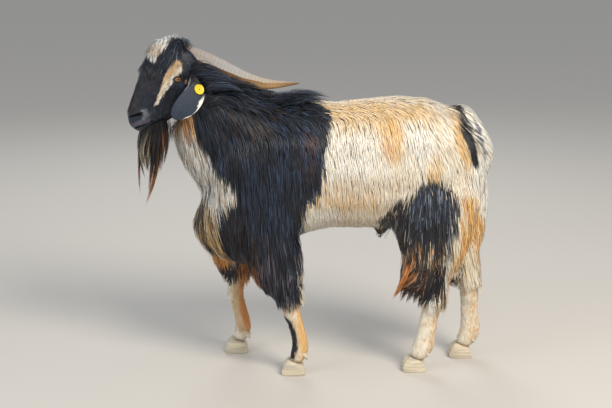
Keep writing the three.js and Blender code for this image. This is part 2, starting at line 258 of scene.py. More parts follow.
def coatDepth(x, y, z):                   # from the skin out to the coat's own outline
    d = depthSettings
    depth = d["trunk"] + 0 * (x + y + z)
    neck = ramp(x, -0.02, -0.16) * ramp(z, 0.24, 0.30)
    depth = depth + (d["neck"] - depth) * neck
    limb = ramp(z, 0.56, 0.46) * np.maximum(ramp(x, 0.19, 0.26), ramp(x, -0.02, -0.06))
    depth = depth + (d["limb"] - depth) * limb
    purse = ramp(z, 0.50, 0.47) * ramp(abs(y + 0.0223), 0.052, 0.044) * ramp(x, 0.16, 0.20) * ramp(x, 0.46, 0.44)
    depth = depth + (d["purse"] - depth) * purse
    tail = ramp(abs(y + 0.026), 0.052, 0.044) * ramp(z, 0.56, 0.60) * ramp(x, 0.44 + 0.3 * abs(z - 0.7), 0.47 + 0.3 * abs(z - 0.7))
    depth = depth + (d["tail"] - depth) * tail
    shank = ramp(z, 0.265, 0.225)
    depth = depth + (d["shank"] - depth) * shank
    ax, ay, az = x - poll[0], y - poll[1], z - poll[2]
    a, u, o = (row[0] * ax + row[1] * ay + row[2] * az for row in headFrame)
    jaw = -0.118 + 0.18 * np.clip(a - 0.08, 0, 1)
    head = ramp(a, 0.005, 0.035) * ramp(u, jaw - 0.012, jaw + 0.012)
    brow = ramp(u, 0.035, 0.065) * ramp(a, 0.16, 0.12)
    return depth + (d["face"] + (d["brow"] - d["face"]) * brow - depth) * head


fleshNodes = [name for name in nodes if name.split("_")[0] in
              ("head", "neck", "trunk", "tail", "upper", "thigh", "shank", "sheath", "scrotum")]
earNodes = ["ear_left", "ear_right"]


def makeFleshField():
    points, triangles, count = [], [], 0
    for name in fleshNodes:
        points.append(pointsOf(nodes[name]))
        triangles.append(trianglesOf(nodes[name]) + count)
        count += len(points[-1])
    field = Field.around(np.vstack(points), np.vstack(triangles))
    closed, quads = field.surface(0.0016)             # a little out, so the thin cuts between nodes close
    field = Field.around(closed, np.vstack([quads[:, [0, 1, 2]], quads[:, [0, 2, 3]]]))
    field.values += 0.0016
    return field


outline = makeFleshField()
skinField = Field(outline.values + coatDepth(*outline.places()).astype(np.float32), outline.low)
gx, gy, gz = skinField.places()
for start, end, radius in legCores:
    s, e = np.array(start), np.array(end)
    t = np.clip((gz - s[2]) / (e[2] - s[2]), 0, 1)
    reach = np.sqrt((gx - s[0] - t * (e[0] - s[0])) ** 2 + (gy - s[1] - t * (e[1] - s[1])) ** 2
                    + (gz - s[2] - t * (e[2] - s[2])) ** 2) - radius
    skinField.values = np.minimum(skinField.values, reach.astype(np.float32))
skinField.soften(4)
skinPoints, skinQuads = skinField.surface()
print("skin drawn,", len(skinQuads), "quads")


# skin, with the modelling of the head

faceSettings = {
    "eye": (0.112, -0.008, 0.047), "eyeRadius": 0.015, "eyeOpening": (0.0120, 0.0066),
    "eyeSlit": (0.114, -0.0105), "slitWay": (0.63, 0.776), "lid": 0.0021,
    "nostril": [(0.284, 0.017, 0.0024), (0.271, 0.010, 0.0042), (0.259, 0.002, 0.0052)],
    "mouth": [(0.304, -0.012, 0.0016), (0.284, -0.023, 0.0016), (0.266, -0.032, 0.0018), (0.249, -0.037, 0.0016)],
}

skin = newPiece("goat_skin", skinPoints, skinQuads)
applyModifier(skin, "SMOOTH", factor=0.5, iterations=3)


def refine(piece, near, cuts=1):          # cuts the faces whose corners are all chosen
    only(piece)
    bpy.ops.object.mode_set(mode="EDIT")
    bpy.ops.mesh.select_mode(type="VERT")
    bpy.ops.mesh.select_all(action="DESELECT")
    bpy.ops.object.mode_set(mode="OBJECT")
    piece.data.vertices.foreach_set("select", near)
    bpy.ops.object.mode_set(mode="EDIT")
    bpy.ops.mesh.subdivide(number_cuts=cuts, smoothness=0)
    bpy.ops.object.mode_set(mode="OBJECT")


h = toHead(pointsOf(skin))
refine(skin, headMask(h) > 0.3)
h = toHead(pointsOf(skin))
nearEye = np.linalg.norm(h * [1, 1, 1] - [0.112, -0.008, 0], axis=1)
eyeGap = np.hypot(h[:, 0] - 0.113, h[:, 1] + 0.009)
refine(skin, (headMask(h) > 0.3) & ((eyeGap < 0.026) | (h[:, 0] > 0.232)))


def modelHead(points):
    f = faceSettings
    h = toHead(points)
    a, u, o = h.T
    side = np.where(o < 0, -1.0, 1.0)
    on = headMask(h)
    move = np.zeros_like(h)
    tu, tv = f["slitWay"]
    ea, eu = a - f["eyeSlit"][0], u - f["eyeSlit"][1]
    ex, ey = ea * tu + eu * tv, -ea * tv + eu * tu      # along the opening, and across it upwards
    # brow, socket, cheekbone and the hollows of the long nose
    swell = 0.0050 * spot(ex, ey, (-0.004, 0.019), (0.017, 0.009), 0, 0.8)
    swell -= 0.0035 * spot(ex, ey, (0.024, -0.002), (0.011, 0.009), 0, 0.9)
    swell += 0.0030 * spot(a, u, (0.145, -0.038), (0.045, 0.012), 8, 0.9)
    swell -= 0.0030 * spot(a, u, (0.205, -0.022), (0.035, 0.016), 0, 0.9)
    swell += 0.0022 * spot(a, u, (0.270, 0.014), (0.018, 0.013), 25, 0.8)
    swell += 0.0025 * spot(a, u, (0.280, -0.012), (0.020, 0.007), 30, 0.7)
    swell += 0.0025 * spot(a, u, (0.250, -0.052), (0.022, 0.012), 20, 0.8)
    nose = band(a, u, f["nostril"], 0.45)
    wing = band(a, u, [(p, q, w * 2.1) for p, q, w in f["nostril"]], 0.35)
    swell += 0.0032 * wing * (1 - nose)
    mouth = band(a, u, f["mouth"], 0.6)
    swell += 0.0030 * spot(a, u, (0.288, -0.030), (0.016, 0.006), 35, 0.8)
    lips = band(a, u, [(p, q, w * 3.4) for p, q, w in f["mouth"]], 0.5)
    swell += 0.0022 * lips * (1 - mouth) - 0.0050 * mouth
    sideways = ramp(abs(o), 0.004, 0.012)
    move[:, 2] = side * swell * on * sideways
    move[:, 2] -= side * 0.0110 * nose * on * sideways
    move[:, 0] -= 0.0040 * nose * on * sideways
    # the groove down the middle of the upper lip, and the notch between the lips in front
    front = on * ramp(a, 0.285, 0.296)
    move[:, 0] -= 0.0020 * front * spot(o, u, (0, 0.004), (0.0016, 0.014), 0, 0.6)
    move[:, 0] -= 0.0038 * front * band(o, u, [(-0.03, -0.020, 0.0016), (-0.01, -0.014, 0.0018),
                                              (0.01, -0.014, 0.0018), (0.03, -0.020, 0.0016)], 0.6)
    h = h + move
    # lids drawn round the ball, with a sunk opening
    for s in (-1, 1):
        centre = np.array([f["eye"][0], f["eye"][1], s * f["eye"][2]])
        away = h - centre
        reach = np.linalg.norm(away, axis=1)
        near = (side == s) & (away[:, 2] * s > 0.001) & (reach < 0.032) & (on > 0.2)
        opening = np.hypot(ex / f["eyeOpening"][0], ey / f["eyeOpening"][1])
        lidReach = f["eyeRadius"] + f["lid"] * (1 + 0.35 * (ey > 0)) - 0.0006
        blend = ramp(np.hypot(ex / 0.021, ey / 0.0175), 1.05, 0.70)
        outside = np.maximum(reach, reach + blend * (lidReach - reach))
        inside = f["eyeRadius"] - 0.0045
        aim = outside + (inside - outside) * ramp(opening, 1.06, 0.94)
        h = np.where(near[:, None], centre + away * (aim / np.maximum(reach, 1e-6))[:, None], h)
    return fromHead(h)


setPoints(skin, modelHead(pointsOf(skin)))


def lidRims():                            # a rounded rim along each eye's opening
    f = faceSettings
    rings, rim = 40, 8
    points, faces = [], []
    for s in (-1, 1):
        start = len(points)
        centre = np.array([f["eye"][0], f["eye"][1], s * f["eye"][2]])
        spine = []
        for k in range(rings):
            w = 2 * math.pi * k / rings
            ex = f["eyeOpening"][0] * math.copysign(abs(math.cos(w)) ** 0.85, math.cos(w))
            ey = f["eyeOpening"][1] * math.sin(w) * (1 - 0.25 * abs(math.cos(w)) ** 3)
            tu, tv = f["slitWay"]
            flat = np.array([f["eyeSlit"][0] + ex * tu - ey * tv, f["eyeSlit"][1] + ex * tv + ey * tu]) - centre[:2]
            lift = math.sqrt(max(f["eyeRadius"] ** 2 - flat @ flat, 1e-6))
            place = centre + unit(np.array([flat[0], flat[1], s * lift])) * (f["eyeRadius"] + 0.0004)
            spine.append(place)
        spine = np.array(spine)
        for k in range(rings):
            along = unit(spine[(k + 1) % rings] - spine[k - 1])
            outward = unit(spine[k] - centre)
            across = np.cross(along, outward)
            thick = 0.0013 + 0.0004 * (k < rings / 2)
            for j in range(rim):
                w = 2 * math.pi * j / rim
                points.append(fromHead(spine[k] + thick * (math.cos(w) * outward + math.sin(w) * across)))
                faces.append([start + (k + dk) % rings * rim + (j + dj) % rim
                              for dk, dj in ((0, 0), (1, 0), (1, 1), (0, 1))])
    return newPiece("lid_rims", points, faces)


rims = lidRims()
only(rims)
bpy.ops.object.mode_set(mode="EDIT")
bpy.ops.mesh.select_all(action="SELECT")
bpy.ops.mesh.normals_make_consistent(inside=False)
bpy.ops.object.mode_set(mode="OBJECT")
print("head modelled")

# ears: both from the plain one, mirrored in the head's own middle for the other side
earSettings = {"levels": 2, "cup": 0.010, "thin": 0.0012}


def makeEar(side):
    ear = copyOf("ear_right", "ear_skin_" + side)
    applyModifier(ear, "SUBSURF", levels=earSettings["levels"], render_levels=earSettings["levels"])
    h = toHead(pointsOf(ear))
    if side == "left":
        h[:, 2] *= -1
        ear.data.flip_normals()
    setPoints(ear, fromHead(h))
    return ear


ears = [makeEar("left"), makeEar("right")]
for kind, piece in enumerate((skin, *ears, rims)):    # 0 body, 1 left ear, 2 right ear, 3 lid rim
    mark = piece.data.attributes.new("kind", "INT", "POINT")
    mark.data.foreach_set("value", np.full(len(piece.data.vertices), kind, np.int32))
bpy.ops.object.select_all(action="DESELECT")
for piece in [*ears, rims, skin]:
    piece.select_set(True)
bpy.context.view_layer.objects.active = skin
bpy.ops.object.join()
skin.data.polygons.foreach_set("use_smooth", np.ones(len(skin.data.polygons), bool))
kinds = np.zeros(len(skin.data.vertices), np.int32)
skin.data.attributes["kind"].data.foreach_get("value", kinds)
print("skin joined,", len(skin.data.vertices), "points")

# an unwrap of the skin's own shape, which the coat's patches share
only(skin)
bpy.ops.object.mode_set(mode="EDIT")
bpy.ops.mesh.select_all(action="SELECT")
skin.data.uv_layers.new(name="OFBake")
bpy.ops.uv.smart_project(angle_limit=math.radians(70), island_margin=0.002)
bpy.ops.object.mode_set(mode="OBJECT")
print("skin unwrapped")


# markings, shared by the skin and the coat

# blue is painted sheen: lighter bluish hairs among the black stand in for the gloss on black hair
paint = {
    "ink": srgb(20, 22, 30), "blue": srgb(42, 54, 74), "coal": srgb(17, 17, 20), "umber": srgb(52, 38, 30),
    "maroon": srgb(58, 36, 38), "cream": srgb(228, 212, 182), "white": srgb(240, 235, 224),
    "tan": srgb(206, 164, 112), "gold": srgb(226, 176, 100), "orange": srgb(205, 130, 60),
    "rust": srgb(140, 80, 40), "slate": srgb(62, 76, 96), "grey": srgb(128, 130, 136),
    "beige": srgb(202, 182, 154), "pink": srgb(196, 150, 136), "mauve": srgb(98, 90, 98),
}
blackEdge = [(0.20, -0.05), (0.452, -0.035), (0.520, -0.030), (0.548, -0.010), (0.573, 0.014), (0.632, 0.026), (0.700, 0.034),
             (0.771, 0.041), (0.806, 0.040), (0.828, 0.006), (0.850, 0.012)]      # height, x
paleMarks = [        # (colour, share of the hairs, centre, size, turn, edge), in x and z
    ("gold", 0.60, (0.15, 0.800), (0.14, 0.040), 0, 0.5),
    ("gold", 0.85, (0.222, 0.730), (0.036, 0.060), 10, 0.5),
    ("orange", 0.40, (0.214, 0.700), (0.020, 0.026), 0, 0.5),
    ("gold", 0.45, (0.31, 0.80), (0.06, 0.03), -20, 0.6),
    ("gold", 0.55, (0.349, 0.640), (0.022, 0.050), 10, 0.6),
    ("gold", 0.70, (0.435, 0.720), (0.022, 0.080), 18, 0.5),
    ("white", 0.60, (0.31, 0.71), (0.035, 0.06), 15, 0.6),
    ("white", 0.55, (0.12, 0.67), (0.10, 0.08), 0, 0.7),
    ("white", 0.80, (0.02, 0.49), (0.05, 0.04), 0, 0.6),
    ("gold", 0.45, (0.08, 0.545), (0.14, 0.022), -6, 0.7),
    ("tan", 0.30, (0.12, 0.59), (0.12, 0.035), 0, 0.7),
    ("beige", 0.45, (0.12, 0.475), (0.14, 0.025), 0, 0.7),
]
# on the black front, in the same columns: the blue patch, the lower umber patch and the mauve patch are painted sheen
# on the hair
darkMarksAndSheen = [
    ("maroon", 0.60, (-0.018, 0.690), (0.026, 0.056), 0, 0.6),
    ("umber", 0.35, (-0.19, 0.76), (0.08, 0.05), 20, 0.8),
    ("blue", 0.40, (-0.12, 0.56), (0.09, 0.12), 0, 0.7),
    ("umber", 0.35, (-0.20, 0.40), (0.06, 0.09), 10, 0.7),
    ("mauve", 0.25, (-0.12, 0.30), (0.10, 0.08), 0, 0.7),
]
throatWhite = [(-0.440, 0.745), (-0.456, 0.672), (-0.430, 0.640), (-0.420, 0.590), (-0.400, 0.530), (-0.366, 0.523), (-0.326, 0.512),
               (-0.305, 0.490), (-0.286, 0.490), (-0.268, 0.520), (-0.246, 0.541), (-0.230, 0.576), (-0.252, 0.610), (-0.280, 0.603),
               (-0.292, 0.632), (-0.303, 0.640), (-0.310, 0.668), (-0.326, 0.685), (-0.335, 0.712), (-0.353, 0.733), (-0.383, 0.745)]
throatBrown = [(-0.425, 0.790), (-0.425, 0.728), (-0.392, 0.738), (-0.370, 0.722), (-0.350, 0.728), (-0.352, 0.790)]
chestPart = [(-0.400, 0.540), (-0.440, 0.472), (-0.430, 0.400), (-0.370, 0.330), (-0.350, 0.280), (-0.270, 0.290), (-0.252, 0.335),
             (-0.279, 0.371), (-0.288, 0.409), (-0.290, 0.472), (-0.302, 0.497), (-0.326, 0.516)]
thighDark = [(0.199, 0.480), (0.213, 0.512), (0.239, 0.552), (0.284, 0.556), (0.318, 0.600), (0.355, 0.612), (0.391, 0.602),
             (0.415, 0.549), (0.425, 0.512), (0.420, 0.475), (0.414, 0.437), (0.397, 0.381), (0.389, 0.315), (0.385, 0.225),
             (0.300, 0.215), (0.225, 0.215), (0.270, 0.286), (0.265, 0.362), (0.245, 0.400), (0.225, 0.420), (0.200, 0.430)]
thighInk = [(0.322, 0.592), (0.288, 0.540), (0.276, 0.475), (0.300, 0.430), (0.359, 0.430), (0.413, 0.446), (0.416, 0.512),
            (0.392, 0.558), (0.374, 0.577), (0.346, 0.600)]
rearOrange = [(0.440, 0.555), (0.473, 0.546), (0.507, 0.489), (0.545, 0.445), (0.530, 0.370), (0.503, 0.300), (0.493, 0.330),
              (0.473, 0.380), (0.450, 0.355), (0.433, 0.297), (0.402, 0.245), (0.422, 0.394), (0.434, 0.460), (0.442, 0.507)]
rearWhite = [(0.468, 0.665), (0.540, 0.660), (0.555, 0.529), (0.532, 0.453), (0.511, 0.491), (0.489, 0.529), (0.470, 0.600)]
tailDark = [(0.410, 0.830), (0.436, 0.822), (0.456, 0.775), (0.474, 0.715), (0.488, 0.660), (0.478, 0.640), (0.466, 0.660), (0.448, 0.713),
            (0.428, 0.765)]
foreStripe = [(-0.100, 0.195), (-0.070, 0.172), (-0.054, 0.130), (-0.050, 0.085), (-0.062, 0.050), (-0.095, 0.050), (-0.105, 0.120)]
hindStripe = [(0.276, 0.150), (0.296, 0.130), (0.291, 0.085), (0.277, 0.040), (0.245, 0.040), (0.262, 0.090)]
browPatch = [(-0.034, 0.20), (-0.030, 0.052), (-0.004, 0.060), (0.014, 0.066), (0.028, 0.071), (0.045, 0.075), (0.062, 0.075),
             (0.080, 0.080), (0.096, 0.080), (0.106, 0.076), (0.113, 0.082), (0.116, 0.20)]
faceStripe = [(0.070, 0.022), (0.078, 0.006), (0.092, 0.000), (0.106, -0.003), (0.134, -0.005), (0.165, -0.007), (0.208, -0.017),
              (0.213, -0.011), (0.172, 0.006), (0.146, 0.018), (0.117, 0.029), (0.092, 0.034), (0.076, 0.032)]


def layer(colour, name, weight, chance=None, soft=0.15):     # mixes on the skin, picks hair by hair on the coat
    weight = np.broadcast_to(weight, len(colour))
    if chance is not None:
        weight = soft * weight + (1 - soft) * (chance < weight)
    return colour + (paint[name] - colour) * weight[:, None]


def markings(points, pick=lambda: None):
    drift = ramp(points[:, 2], 0.20, 0.30)            # the edges wander a little, less on the legs
    x = points[:, 0] + 0.006 * drift * wobble(points, 0.07, 3)
    z = points[:, 2] + 0.007 * drift * wobble(points, 0.09, 4)
    y = points[:, 1] + 0.0223
    colour = np.tile(paint["cream"], (len(points), 1))
    colour = layer(colour, "white", 0.45, pick(), 0.5)
    colour = layer(colour, "tan", 0.12, pick(), 0.5)
    for name, share, centre, size, turn, edge in paleMarks:
        colour = layer(colour, name, share * spot(x, z, centre, size, turn, edge), pick(), 0.7)
    # the breeches: streaky at their edges, ink in the middle, brown and orange at the tips
    thigh = region(x, z, thighDark, 0.014)
    colour = layer(colour, "umber", 0.70 * thigh, pick())
    colour = layer(colour, "ink", 0.72 * thigh, pick())
    ink = region(x, z, thighInk, 0.014)
    colour = layer(colour, "ink", 0.90 * ink, pick())
    # painted sheen: slate-blue hairs over the upper part of the ink patch
    colour = layer(colour, "slate", 0.42 * ink * ramp(z, 0.44, 0.52), pick(), 0.3)
    colour = layer(colour, "grey", 0.16 * thigh * ramp(z, 0.36, 0.44), pick())
    low = thigh * ramp(z, 0.44, 0.38)
    colour = layer(colour, "beige", 0.13 * low, pick())
    colour = layer(colour, "orange", 0.50 * thigh * region(x, z, [(0.215, 0.215), (0.265, 0.300), (0.262, 0.380), (0.295, 0.370), (0.300, 0.290),
                                                                  (0.275, 0.215)], 0.010), pick())
    colour = layer(colour, "orange", 0.12 * low, pick())
    colour = layer(colour, "maroon", 0.40 * thigh * region(x, z, [(0.250, 0.21), (0.30, 0.33), (0.345, 0.33), (0.335, 0.21)], 0.012), pick())
    colour = layer(colour, "ink", 0.90 * region(x, z, [(0.330, 0.20), (0.330, 0.290), (0.365, 0.345), (0.399, 0.355), (0.391, 0.20)], 0.010), pick())
    colour = layer(colour, "orange", 0.62 * region(x, z, rearOrange, 0.012), pick())
    colour = layer(colour, "gold", 0.50 * region(x, z, rearOrange, 0.012), pick())
    colour = layer(colour, "white", 0.85 * region(x, z, rearWhite, 0.012), pick())
    colour = layer(colour, "cream", 0.90 * spot(x, z, (0.470, 0.330), (0.035, 0.075), 0, 0.4) * (y > 0), pick())
    # the front half is black, with a white throat and a streaky chest
    edgeX = np.interp(z, *np.array(blackEdge).T)
    black = 1 - ramp(x - edgeX, -0.013, 0.013)
    colour = layer(colour, "ink", black, pick())
    # painted sheen: a share of the black hairs is lighter blue
    colour = layer(colour, "blue", 0.26 * black, pick())
    colour = layer(colour, "coal", 0.25 * black, pick())
    for name, share, centre, size, turn, edge in darkMarksAndSheen:
        colour = layer(colour, name, share * black * spot(x, z, centre, size, turn, edge), pick())
    throat = region(x, z, throatWhite, 0.009)
    colour = layer(colour, "white", throat, pick())
    colour = layer(colour, "beige", 0.35 * throat, pick())
    colour = layer(colour, "grey", 0.10 * throat, pick())
    brown = region(x, z, throatBrown, 0.008)
    colour = layer(colour, "tan", 0.9 * brown, pick())
    colour = layer(colour, "rust", 0.35 * brown, pick())
    chest = region(x, z, chestPart, 0.010)
    colour = layer(colour, "beige", 0.85 * chest, pick())
    colour = layer(colour, "gold", 0.45 * chest, pick())
    colour = layer(colour, "umber", 0.25 * chest, pick())
    dark = band(x, z, [(-0.319, 0.554, 0.002), (-0.332, 0.516, 0.003), (-0.358, 0.475, 0.005), (-0.352, 0.450, 0.005)], 0.4)
    dark = np.maximum(dark, band(x, z, [(-0.343, 0.428, 0.003), (-0.322, 0.39, 0.003), (-0.304, 0.361, 0.003)], 0.4))
    colour = layer(colour, "ink", 0.75 * dark, pick())
    colour = layer(colour, "orange", 0.85 * chest * ramp(z, 0.375, 0.335), pick())
    hem = region(x, z, [(-0.245, 0.345), (-0.245, 0.20), (-0.150, 0.20), (-0.160, 0.300), (-0.183, 0.361), (-0.200, 0.325)], 0.012)
    colour = layer(colour, "rust", 0.60 * hem, pick())
    colour = layer(colour, "orange", 0.35 * hem, pick())
    # legs
    fore, near = x < 0.1, y < 0
    shank = np.where(fore, np.where(near, ramp(z, 0.230, 0.219), ramp(z, 0.262, 0.246)), np.where(near, ramp(z, 0.240, 0.226), ramp(z, 0.262, 0.244)))
    colour = layer(colour, "cream", shank, None)
    colour = layer(colour, "white", 0.45 * shank, pick())
    legX = np.interp(z, [0.0, 0.08, 0.14, 0.24], [-0.044, -0.048, -0.058, -0.062])       # the middle of the near fore leg
    colour = layer(colour, "gold", 0.90 * shank * fore * near * ramp(x - legX, 0.000, 0.014), pick(), 0.7)
    colour = layer(colour, "tan", 0.35 * shank * fore * near, pick())
    farX = np.interp(z, [0.0, 0.06, 0.14, 0.24], [-0.200, -0.212, -0.238, -0.236])
    colour = layer(colour, "tan", 0.75 * shank * fore * ~near * ramp(x - farX, -0.032, -0.018) * ramp(z, 0.05, 0.08), pick(), 0.7)
    colour = layer(colour, "orange", 0.90 * shank * fore * ~near * ramp(x - farX, -0.006, 0.008) * ramp(z, 0.045, 0.06), pick(), 0.7)
    rearX = np.interp(z, [0.0, 0.08, 0.24], [0.330, 0.342, 0.372])
    colour = layer(colour, "tan", 0.50 * shank * ~fore * near * ramp(x - rearX, -0.004, 0.012), pick())
    colour = layer(colour, "tan", 0.45 * shank * ~fore * ~near * ramp(x, 0.480, 0.500), pick())
    mottle = ramp(wobble(points * [1, 1, 0.5], 0.018, 21), 0.1, 0.6)
    colour = layer(colour, "tan", 0.30 * shank * mottle, pick())
    colour = layer(colour, "ink", 0.97 * region(x, z, foreStripe, 0.004) * near, pick())
    colour = layer(colour, "ink", 0.90 * region(x, z, hindStripe, 0.004) * near, pick())
    colour = layer(colour, "pink", 0.8 * spot(x, z, (-0.094, 0.203), (0.010, 0.010), 0, 0.4) * near, None)
    colour = layer(colour, "ink", 0.9 * spot(x, z, (-0.268, 0.262), (0.013, 0.024), 0, 0.4) * ~near, pick())
    # tail
    tail = ramp(abs(y + 0.004), 0.056, 0.048) * ramp(z, 0.57, 0.60) * ramp(x, 0.43, 0.445)
    colour = layer(colour, "white", 0.7 * tail * ramp(x - 0.46 - 0.35 * (0.75 - z), 0.0, 0.02), pick())
    colour = layer(colour, "ink", 0.97 * region(x, z, tailDark, 0.004) * (y < 0.05), pick())
    colour = layer(colour, "slate", 0.7 * band(x, z, [(0.476, 0.772, 0.006), (0.500, 0.710, 0.006), (0.512, 0.665, 0.005)], 0.4)
                   * tail, pick())
    # sheath and purse
    colour = layer(colour, "umber", ramp(z, 0.447, 0.438) * ramp(x, 0.165, 0.175) * ramp(x, 0.235, 0.225) * ramp(abs(y), 0.05, 0.04), None)
    # head
    h = toHead(points)
    on = headMask(h)
    a, u, o = h.T
    side = abs(o)
    colour = layer(colour, "ink", on, None)
    colour = layer(colour, "coal", 0.30 * on, pick())
    # painted sheen: a share of the face hairs is lighter blue
    colour = layer(colour, "blue", 0.30 * on, pick())
    colour = layer(colour, "umber", 0.30 * on * spot(a, u, (0.17, 0.055), (0.10, 0.03), -12, 0.6), pick())
    white = region(a, u + 0.003 * wobble(points, 0.03, 8), browPatch, 0.005)
    colour = layer(colour, "white", white, pick())
    colour = layer(colour, "tan", 0.5 * white * spot(a, u, (0.086, 0.090), (0.020, 0.014), 20, 0.5), pick(), 0.5)
    colour = layer(colour, "grey", 0.15 * white, pick())
    streak = on * region(a, u + 0.002 * wobble(points, 0.012, 9), faceStripe, 0.003) * ramp(side, 0.012, 0.020)
    colour = layer(colour, "beige", 0.92 * streak, pick())
    colour = layer(colour, "white", 0.40 * streak * ramp(u, 0.014, 0.004), pick())
    colour = layer(colour, "tan", 0.55 * streak * ramp(u - 0.08 * (0.2 - a), 0.000, 0.012), pick())
    colour = layer(colour, "tan", 0.8 * on * spot(a, u, (0.103, -0.033), (0.006, 0.004), 0, 0.4), pick())
    colour = layer(colour, "umber", 0.75 * on * spot(a, u, (0.258, 0.032), (0.018, 0.018), 20, 0.5), pick())
    rim = band(a, u, [(0.264, -0.012, 0.005), (0.250, -0.011, 0.008), (0.245, 0.001, 0.007), (0.250, 0.010, 0.003)], 0.9)
    colour = layer(colour, "grey", 0.55 * on * rim, pick(), 0.6)
    lip = band(a, u, [(0.300, -0.004, 0.006), (0.280, -0.012, 0.006), (0.258, -0.026, 0.004)], 0.5)
    colour = layer(colour, "mauve", 0.6 * on * lip, None)
    return layer(colour, "mauve", 0.4 * on * spot(a, u, (0.297, -0.032), (0.010, 0.010), 0, 0.5), None)


def earColour(points, pick=lambda: None):
    h = toHead(points)
    a, u = h[:, 0], h[:, 1]
    colour = np.tile(0.72 * paint["slate"], (len(points), 1))
    colour = layer(colour, "ink", 0.45 + 0 * a, pick(), 0.5)
    middle = np.interp(a, [0.066, 0.084, 0.106, 0.136, 0.170, 0.198, 0.213], [-0.030, -0.048, -0.066, -0.072, -0.069, -0.064, -0.061])
    half = np.interp(a, [0.066, 0.084, 0.106, 0.136, 0.170, 0.198, 0.213], [0.012, 0.018, 0.032, 0.037, 0.034, 0.024, 0.008])
    across = (u - middle) / half          # -1 at the rear edge, 1 at the front one
    inner = 0.93 - 0.30 * np.exp(-((a - 0.128) / 0.016) ** 2)       # the pale rim is widest below the tag
    rear = ramp(-across, inner - 0.04, inner + 0.04) * ramp(a, 0.095, 0.110) * ramp(a, 0.205, 0.185)
    front = ramp(across, 0.86, 0.95) * ramp(a, 0.135, 0.118) * ramp(a, 0.085, 0.095)
    colour = layer(colour, "white", np.maximum(rear * (h[:, 2] > 0), front), None)
    return layer(colour, "coal", ramp(a, 0.105, 0.090), None)


def skinColours():
    points = pointsOf(skin)
    colour = markings(points)
    isEar = (kinds == 1) | (kinds == 2)
    colour[isEar] = earColour(points[isEar])
    colour[kinds == 3] = paint["coal"] * 0.7
    h = toHead(points)
    f = faceSettings
    on = headMask(h) * ramp(abs(h[:, 2]), 0.004, 0.012)
    # painted shade in the nostrils and along the mouth line
    holeShade = on * np.maximum(band(h[:, 0], h[:, 1], f["nostril"], 0.3), 0.8 * band(h[:, 0], h[:, 1], f["mouth"], 0.5))
    tu, tv = f["slitWay"]
    ea, eu = h[:, 0] - f["eyeSlit"][0], h[:, 1] - f["eyeSlit"][1]
    # the dark bare lid skin round each eye, also standing for painted shade in the sunk opening
    lidRing = spot(ea * tu + eu * tv, -ea * tv + eu * tu, (0, 0), (0.0165, 0.0105), 0, 0.25) * on
    dark = np.maximum(holeShade, lidRing)
    dark[kinds != 0] = 0
    return colour + (paint["coal"] * 0.5 - colour) * dark[:, None]


def setTint(piece, colour, name="tint"):
    layerData = piece.data.color_attributes.new(name, "FLOAT_COLOR", "POINT")
    flat = np.ones((len(colour), 4), np.float32)
    flat[:, :3] = colour
    layerData.data.foreach_set("color", flat.ravel())


tints = skinColours()
setTint(skin, tints)
print("skin painted")


# shader maths

class Wire:                               # a socket that can be added, multiplied and so on
    def __init__(self, book, socket):
        self.book, self.socket = book, socket

    def maths(self, operation, *others, clamp=False):
        values = {k: (other.socket if isinstance(other, Wire) else other) for k, other in enumerate((self, *others))}
        return self.book.node("ShaderNodeMath", {"operation": operation, "use_clamp": clamp}, values)

    def __add__(self, other): return self.maths("ADD", other)
    def __radd__(self, other): return self.maths("ADD", other)
    def __mul__(self, other): return self.maths("MULTIPLY", other)
    def __rmul__(self, other): return self.maths("MULTIPLY", other)
    def __sub__(self, other): return self.maths("SUBTRACT", other)
    def __rsub__(self, other): return self.maths("MULTIPLY", -1.0).maths("ADD", other)
    def __truediv__(self, other): return self.maths("DIVIDE", other)
    def __pow__(self, other): return self.maths("POWER", other)


class MaterialBook:                       # one material and its nodes
    def __init__(self, name, colour=(0.5, 0.5, 0.5)):
        self.material = bpy.data.materials.new(name)
        self.material.use_nodes = True
        self.material.diffuse_color = (*[float(c) for c in colour], 1)
        self.tree = self.material.node_tree
        self.shader = self.tree.nodes["Principled BSDF"]

    def node(self, kind, settings=None, values=None, out=0):
        made = self.tree.nodes.new(kind)
        for key, value in (settings or {}).items():
            if key == "stops":
                while len(made.color_ramp.elements) < len(value):
                    made.color_ramp.elements.new(0.5)
                for element, (place, colour) in zip(made.color_ramp.elements, value):
                    element.position, element.color = place, (*colour, 1)
            else:
                setattr(made, key, value)
        for key, value in (values or {}).items():
            self.plug(made.inputs[key], value)
        return Wire(self, made.outputs[out])

    def plug(self, socket, value):
        if isinstance(value, Wire):
            value = value.socket
        if isinstance(value, bpy.types.NodeSocket):
            self.tree.links.new(value, socket)
        else:
            socket.default_value = value

    def set(self, **values):              # sockets of the main shader, their spaces left out
        for socket in self.shader.inputs:
            key = socket.name.replace(" ", "")
            key = key[0].lower() + key[1:]
            if key in values:
                self.plug(socket, values.pop(key))
        if values:
            raise ValueError(f"no socket {list(values)}")

    def objectPlace(self):
        return self.node("ShaderNodeTexCoord", out=3)

    def attribute(self, name, out=0):
        return self.node("ShaderNodeAttribute", {"attribute_name": name}, out=out)

    def noise(self, place, scale, detail=3.0, rough=0.5, stretch=None):
        if stretch:
            place = self.node("ShaderNodeMapping", None, {"Vector": place, "Scale": stretch})
        return self.node("ShaderNodeTexNoise", None, {"Vector": place, "Scale": scale, "Detail": detail, "Roughness": rough})

    def mix(self, factor, first, second, blend="MIX"):
        made = self.tree.nodes.new("ShaderNodeMix")
        made.data_type, made.blend_type = "RGBA", blend
        for index, value in ((0, factor), (6, first), (7, second)):
            value = (*[float(c) for c in value], 1) if isinstance(value, (tuple, np.ndarray)) else value
            self.plug(made.inputs[index], value)
        return Wire(self, made.outputs[2])

    def bump(self, height, strength, distance):
        return self.node("ShaderNodeBump", None, {"Height": height, "Strength": strength, "Distance": distance})

    def give(self, *pieces):
        for piece in pieces:
            piece.data.materials.clear()
            piece.data.materials.append(self.material)


